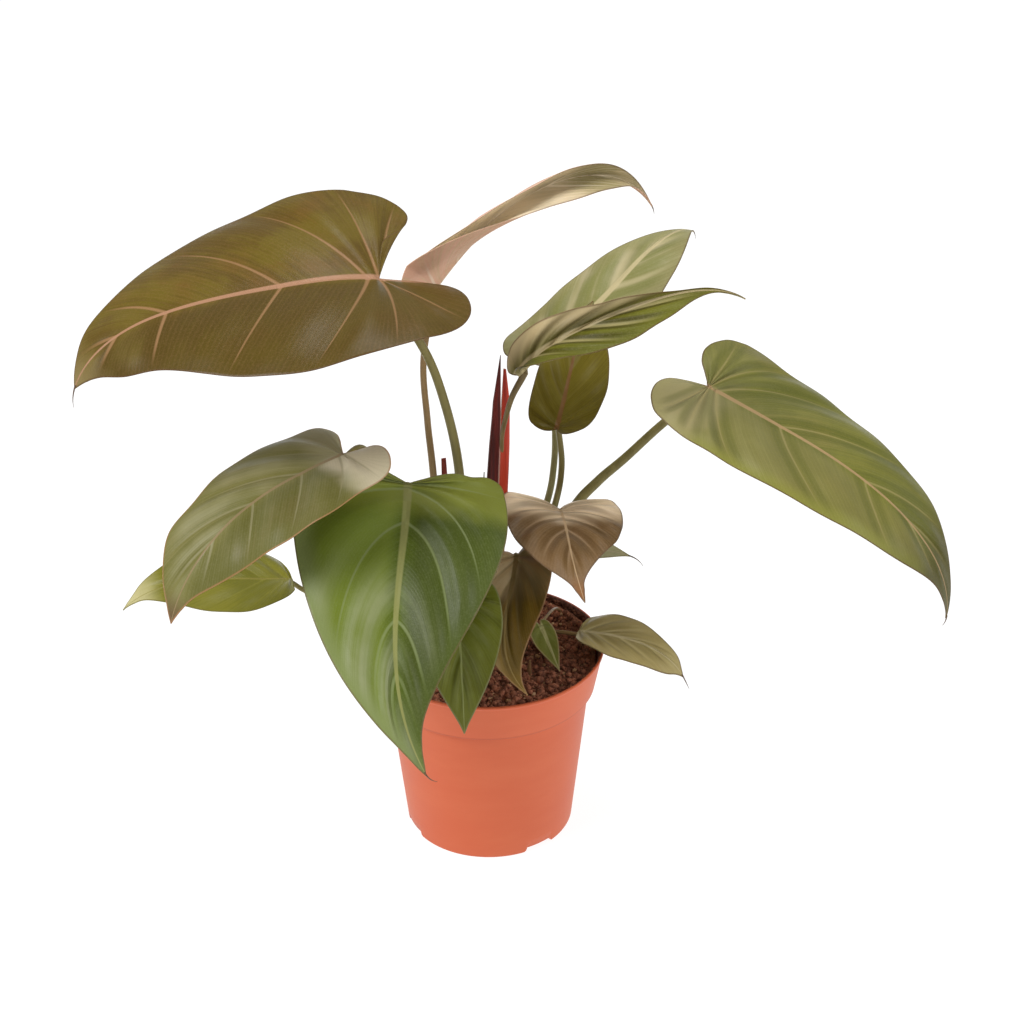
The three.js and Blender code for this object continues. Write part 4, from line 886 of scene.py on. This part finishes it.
def sheath_piece(name, line, out, deep, colours, side=-1):
    """Half of a lens in section, carried along a line and narrowing to its tip."""
    steps, curved, straight = 120, 32, 8
    sides = curved + straight
    t = np.linspace(0, 1, steps)
    path = smooth_curve(line, t)
    forward = unit(np.gradient(path, axis=0))
    right = unit(np.array([1.0, 0, 0]) - forward * forward[:, :1])
    away = np.cross(right, forward)
    ticks = np.linspace(0, 1, len(out))
    wide, thick = (np.interp(t, ticks, values)[:, None, None] for values in (out, deep))
    # The half-round runs from front to back over the outer side, then straight back
    angle = np.linspace(-np.pi / 2, np.pi / 2, curved)
    x = np.r_[np.cos(angle), np.zeros(straight)]
    y = np.r_[np.sin(angle), np.linspace(1, -1, straight + 2)[1:-1]]
    points = (path[:, None] + right[:, None] * (side * x[:, None] * wide)
              + away[:, None] * (y[:, None] * thick))
    first, last = (np.tile(section.mean(axis=0), (1, sides, 1)) for section in (points[0], points[-1]))
    charts = np.stack(np.broadcast_arrays(x, np.r_[0, t, 1][:, None]), -1)
    faces = grid_faces(steps + 2, sides, True)[:, ::side]
    piece_of(name + "_fine", np.concatenate([first, points, last]), faces,
             [sheath_finish(name + "_skin", *colours)], name, charts)


for name, values in SHEATHS.items():
    sheath_piece(name, **values)

# Pot

def rounded(profile):
    """A profile of (radius, height) whose corners are rounded by short quadratic curves."""
    p = np.asarray(profile, float)
    w = np.linspace(0, 1, CORNER_STEPS)[:, None]
    made = [p[:1]]
    for a, b, c in zip(p[:-2], p[1:-1], p[2:]):
        near = min(CORNER_SIZE, 0.45 * np.linalg.norm(b - a), 0.45 * np.linalg.norm(c - b))
        made.append(bent_curve(b + unit(a - b) * near, b, b + unit(c - b) * near, w))
    return np.vstack([*made, p[-1:]])


def terracotta():
    """Thin moulded plastic: an even colour with a trace of flow marks and fine dust, a thin
    painted shadow under the band, and dark brown on the inner wall above the soil, more
    towards the back, partly peat-stained and partly painted shade."""
    s = Finish("terracotta_plastic", Specular_IOR_Level=0.35)
    place = s.place()
    x, y, z = (s.part(place, axis) for axis in "XYZ")
    broad = s.noise(s.stretched(place, (18, 18, 60)), 1)
    # Painted shadow: a darker line under the band's overhang
    band_shadow = z.rise(0.0795, 0.0815) * z.rise(0.0835, 0.0822)
    colour = s.tinted(s.blend(broad.rise(0.3, 0.75), 0xd2623a, 0xd66941),
                      (s.noise(place, 600).rise(0.55, 0.8) * 0.2, 0xc8623f), (band_shadow * 0.4, 0x9a4028))
    # Dark brown on the inner wall above the soil, darker towards the back: partly peat-stained, partly
    # painted shade
    inside = ((x * x + y * y).sum("SQRT") - z * 0.197).rise(0.0386, 0.0382) * z.rise(0.0945, 0.0965)
    stain_and_shade = inside * (s.noise(place, 260, 4, 0.7) + (x * 0.3 + y) * 4).rise(0.36, 0.5)
    dirt_and_shade = s.blend(s.noise(place, 500).rise(0.35, 0.65), 0x3c2318, 0x70483a)
    height = s.noise(place, 1800) + s.noise(s.stretched(place, (40, 40, 900)), 1) * 0.4
    return s.wear(s.mix(stain_and_shade * 0.92, colour, dirt_and_shade), broad * 0.12 + 0.42, height, 0.00005)


def pot_piece():
    """A turned form. Where the foot ring has a notch, its underside is lifted."""
    profile = rounded([
        (0, 0), (9, 0), (9.6, 3.6), (40.2, 3.6), (40.4, 0), (43.1, 0), (43.7, 1), (44.5, 8.4), (44.7, 10.3),
        (52.3, 80.6), (52.7, 81.6), (55.3, 82), (59.3, 102.2), (60, 102.9), (59.8, 104), (58.4, 104),
        (57.8, 102.8), INNER_BAND_FOOT, (51.1, 80.4), (42.7, 6), (41.7, 5), (0, 5)])
    angle = full_turn(POT_TURNS)
    radius, z = (profile[:, k, None] * np.ones(POT_TURNS) for k in (0, 1))
    foot = (radius > 39.5) & (z < NOTCH_HEIGHT)
    for notch in FOOT_NOTCHES:
        off = (angle + math.radians(notch) + np.pi) % (2 * np.pi) - np.pi
        inside = fade(np.abs(off) * FOOT_RADIUS, NOTCH_WIDTH / 2 + 0.4, NOTCH_WIDTH / 2 - 0.4)
        z = np.where(foot, np.maximum(z, NOTCH_HEIGHT * inside), z)
    piece_of("pot_fine", turned(radius, z, angle), grid_faces(len(profile), POT_TURNS, True),
             [terracotta()], "pot")


pot_piece()

# Soil

def soil_height(x, y):
    """A low mound with slow crumbly waves, the same as the solid's upper face, and a heap
    of peat against the wall at the back right."""
    reach, turn = np.hypot(x, y), np.degrees(np.arctan2(y, x))
    share = reach / RIM_RADIUS
    crumbs = (0.7 * np.sin(0.47 * x + 1.1) * np.cos(0.43 * y - 0.4) + 0.5 * np.sin(0.9 * x - 0.7 * y)
              + 0.4 * np.cos(0.8 * x + 1.2 * y))
    heap = HEAP_HEIGHT * fade(reach, 41, 55) * fade(turn, 0, 30) * fade(turn, 125, 95)
    return SOIL_EDGE + SOIL_MOUND * (1 - share**2) + crumbs * (1 - share**4) + heap


def peat():
    """Peat: brown to red-brown by grain, with scattered tan fibres."""
    s = Finish("peat", Specular_IOR_Level=0.25)
    place = s.place()
    grain = s.grain(place, 650)
    soft = s.noise(place, 320, 5, 0.7)
    colour = s.tinted(s.blend(soft.rise(0.35, 0.65), 0x75503c, 0xa66a50),
                      (grain.rise(0.5, 0.15) * 0.5, 0xa8694e),
                      (s.noise(place, 420, 2).rise(0.66, 0.72), 0xc89c74))
    return s.wear(colour, 0.95, soft + grain, 0.0006)


def soil_piece():
    """A turned body whose upper face adds three sizes of noise to the mound and the heap."""
    top = np.linspace(1, 0, SOIL_RINGS) ** 0.75
    radius = np.r_[0, 40, 41.5, 50.4, 53.3, SOIL_REACH, SOIL_REACH * top][:, None]
    level = np.r_[5.4, 5.4, 7.4, 80, 84, SOIL_EDGE - 1.5, np.full(SOIL_RINGS, np.nan)][:, None]
    flat = turned(radius, 0.0, full_turn(SOIL_TURNS))
    lumps = (1.6 * value_noise(flat, 3.6, 5) + 1.5 * np.abs(value_noise(flat, 1.7, 9))
             + 0.7 * value_noise(flat, 0.8, 11))
    upper = soil_height(flat[..., 0], flat[..., 1]) + lumps * fade(radius, 56, 53)
    flat[..., 2] = np.where(np.isnan(level), upper, level)
    piece_of("soil_fine", flat, grid_faces(len(radius), SOIL_TURNS, True), [peat()], "soil")


def crumb_piece(name, count, low, high, colours, seed, wall=False):
    """Small lumps that lie on the soil, half sunk in its lumps: twelve-cornered stones, each
    stretched and turned by seeded draws. Those of the wall cling to it over the heap."""
    draw = np.random.default_rng(seed)
    g = (1 + 5**0.5) / 2
    corners = unit(np.array([np.roll((x, y, 0), k) for k in range(3) for y in (g, -g) for x in (-1, 1)]))
    sides = np.array([(0, 11, 5), (0, 5, 1), (0, 1, 7), (0, 7, 10), (0, 10, 11), (1, 5, 9), (5, 11, 4),
                      (11, 10, 2), (10, 7, 6), (7, 1, 8), (3, 9, 4), (3, 4, 2), (3, 2, 6), (3, 6, 8),
                      (3, 8, 9), (4, 9, 5), (2, 4, 11), (6, 2, 10), (8, 6, 7), (9, 8, 1)])
    radius = CRUMB_REACH * np.sqrt(draw.random(count))
    angle = draw.random(count) * 2 * np.pi
    size = low + (high - low) * draw.random(count) ** 2.5
    if wall:
        level = 103.2 - 5.0 * (radius / CRUMB_REACH) ** 1.5
        radius = INNER_BAND_FOOT[0] - 0.3 + WALL_SLOPE * (level - INNER_BAND_FOOT[1])
        angle = 0.1 + angle * 0.33
    else:
        level = soil_height(radius * np.cos(angle), radius * np.sin(angle)) + 0.6 + 0.3 * size
    shape = corners * (0.55 + 0.9 * draw.random((count, 1, 3))) * (0.75 + 0.5 * draw.random((count, 12, 1)))
    turn = draw.random(count) * 2 * np.pi
    c, s = np.cos(turn)[:, None], np.sin(turn)[:, None]
    x, y, z = np.moveaxis(shape, -1, 0)
    lumps = np.stack([x * c - y * s, x * s + y * c, z], -1) * size[:, None, None]
    faces = (sides + 12 * np.arange(count)[:, None, None]).reshape(-1, 3)
    s = Finish(name + "_skin", Specular_IOR_Level=0.25)
    place = s.place()
    colour = s.blend(s.noise(place, 260, 2).rise(0.35, 0.65), *colours)
    finish = s.wear(colour, 0.95, s.noise(place, 1500), 0.0003)
    piece_of(name, lumps + turned(radius, level, angle)[:, None], faces, [finish], "soil", join=False)


soil_piece()
crumb_piece("wall_crumbs", 420, 0.4, 1.5, (0x5c3a2c, 0x8a5a44), 8, wall=True)
crumb_piece("peat_crumbs", 3800, 0.4, 1.8, (0x7c503e, 0xbe7c60), 4)
crumb_piece("tan_crumbs", 500, 0.35, 1.2, (0xc09068, 0xdcb48c), 7)

# Floor, light and camera

floor_mesh = bpy.data.meshes.new("floor")
floor_mesh.from_pydata([(-40, -40, 0), (40, -40, 0), (40, 40, 0), (-40, 40, 0)], [], [(0, 1, 2, 3)])
floor = bpy.data.objects.new("floor", floor_mesh)
bpy.context.scene.collection.objects.link(floor)
white = Finish("floor_white", Roughness=0.9, Specular_IOR_Level=0.0, Base_Color=(0.22, 0.22, 0.22, 1),
               Emission_Color=(1, 1, 1, 1), Emission_Strength=0.9)
floor_mesh.materials.append(white.material)

# Rectangular lamps that face the middle of the plant
for name, place, size, power in (("light_left", (-1.1, -0.8, 1.6), (0.8, 0.8), 26),
                                 ("light_right", (1.7, -0.4, 1.0), (1.2, 1.0), 12),
                                 ("light_top", (0.2, 0.4, 1.8), (1.0, 0.8), 12)):
    lamp = bpy.data.lights.new(name, "AREA")
    lamp.shape = "RECTANGLE"
    lamp.size, lamp.size_y = size
    lamp.energy = power
    lamp_object = bpy.data.objects.new(name, lamp)
    lamp_object.location = place
    lamp_object.rotation_euler = (LIGHT_AIM - Vector(place)).to_track_quat("-Z", "Y").to_euler()
    bpy.context.scene.collection.objects.link(lamp_object)

world = bpy.data.worlds.new("studio")
world.use_nodes = True
background = world.node_tree.nodes["Background"].inputs
background["Color"].default_value = (1, 1, 1, 1)
background["Strength"].default_value = WORLD_STRENGTH
bpy.context.scene.world = world
bpy.context.scene.view_settings.view_transform = "Standard"

camera = bpy.data.objects.new("camera", bpy.data.cameras.new("camera"))
camera.data.lens = LENS_MM
camera.data.sensor_width = SENSOR_MM
pose = Matrix.Translation(CAMERA_PLACE)
for degrees, axis in ((-CAMERA_YAW, "Z"), (90 - CAMERA_PITCH, "X"), (CAMERA_ROLL, "Z")):
    pose = pose @ Matrix.Rotation(math.radians(degrees), 4, axis)
camera.matrix_world = pose
bpy.context.scene.collection.objects.link(camera)
bpy.context.scene.camera = camera
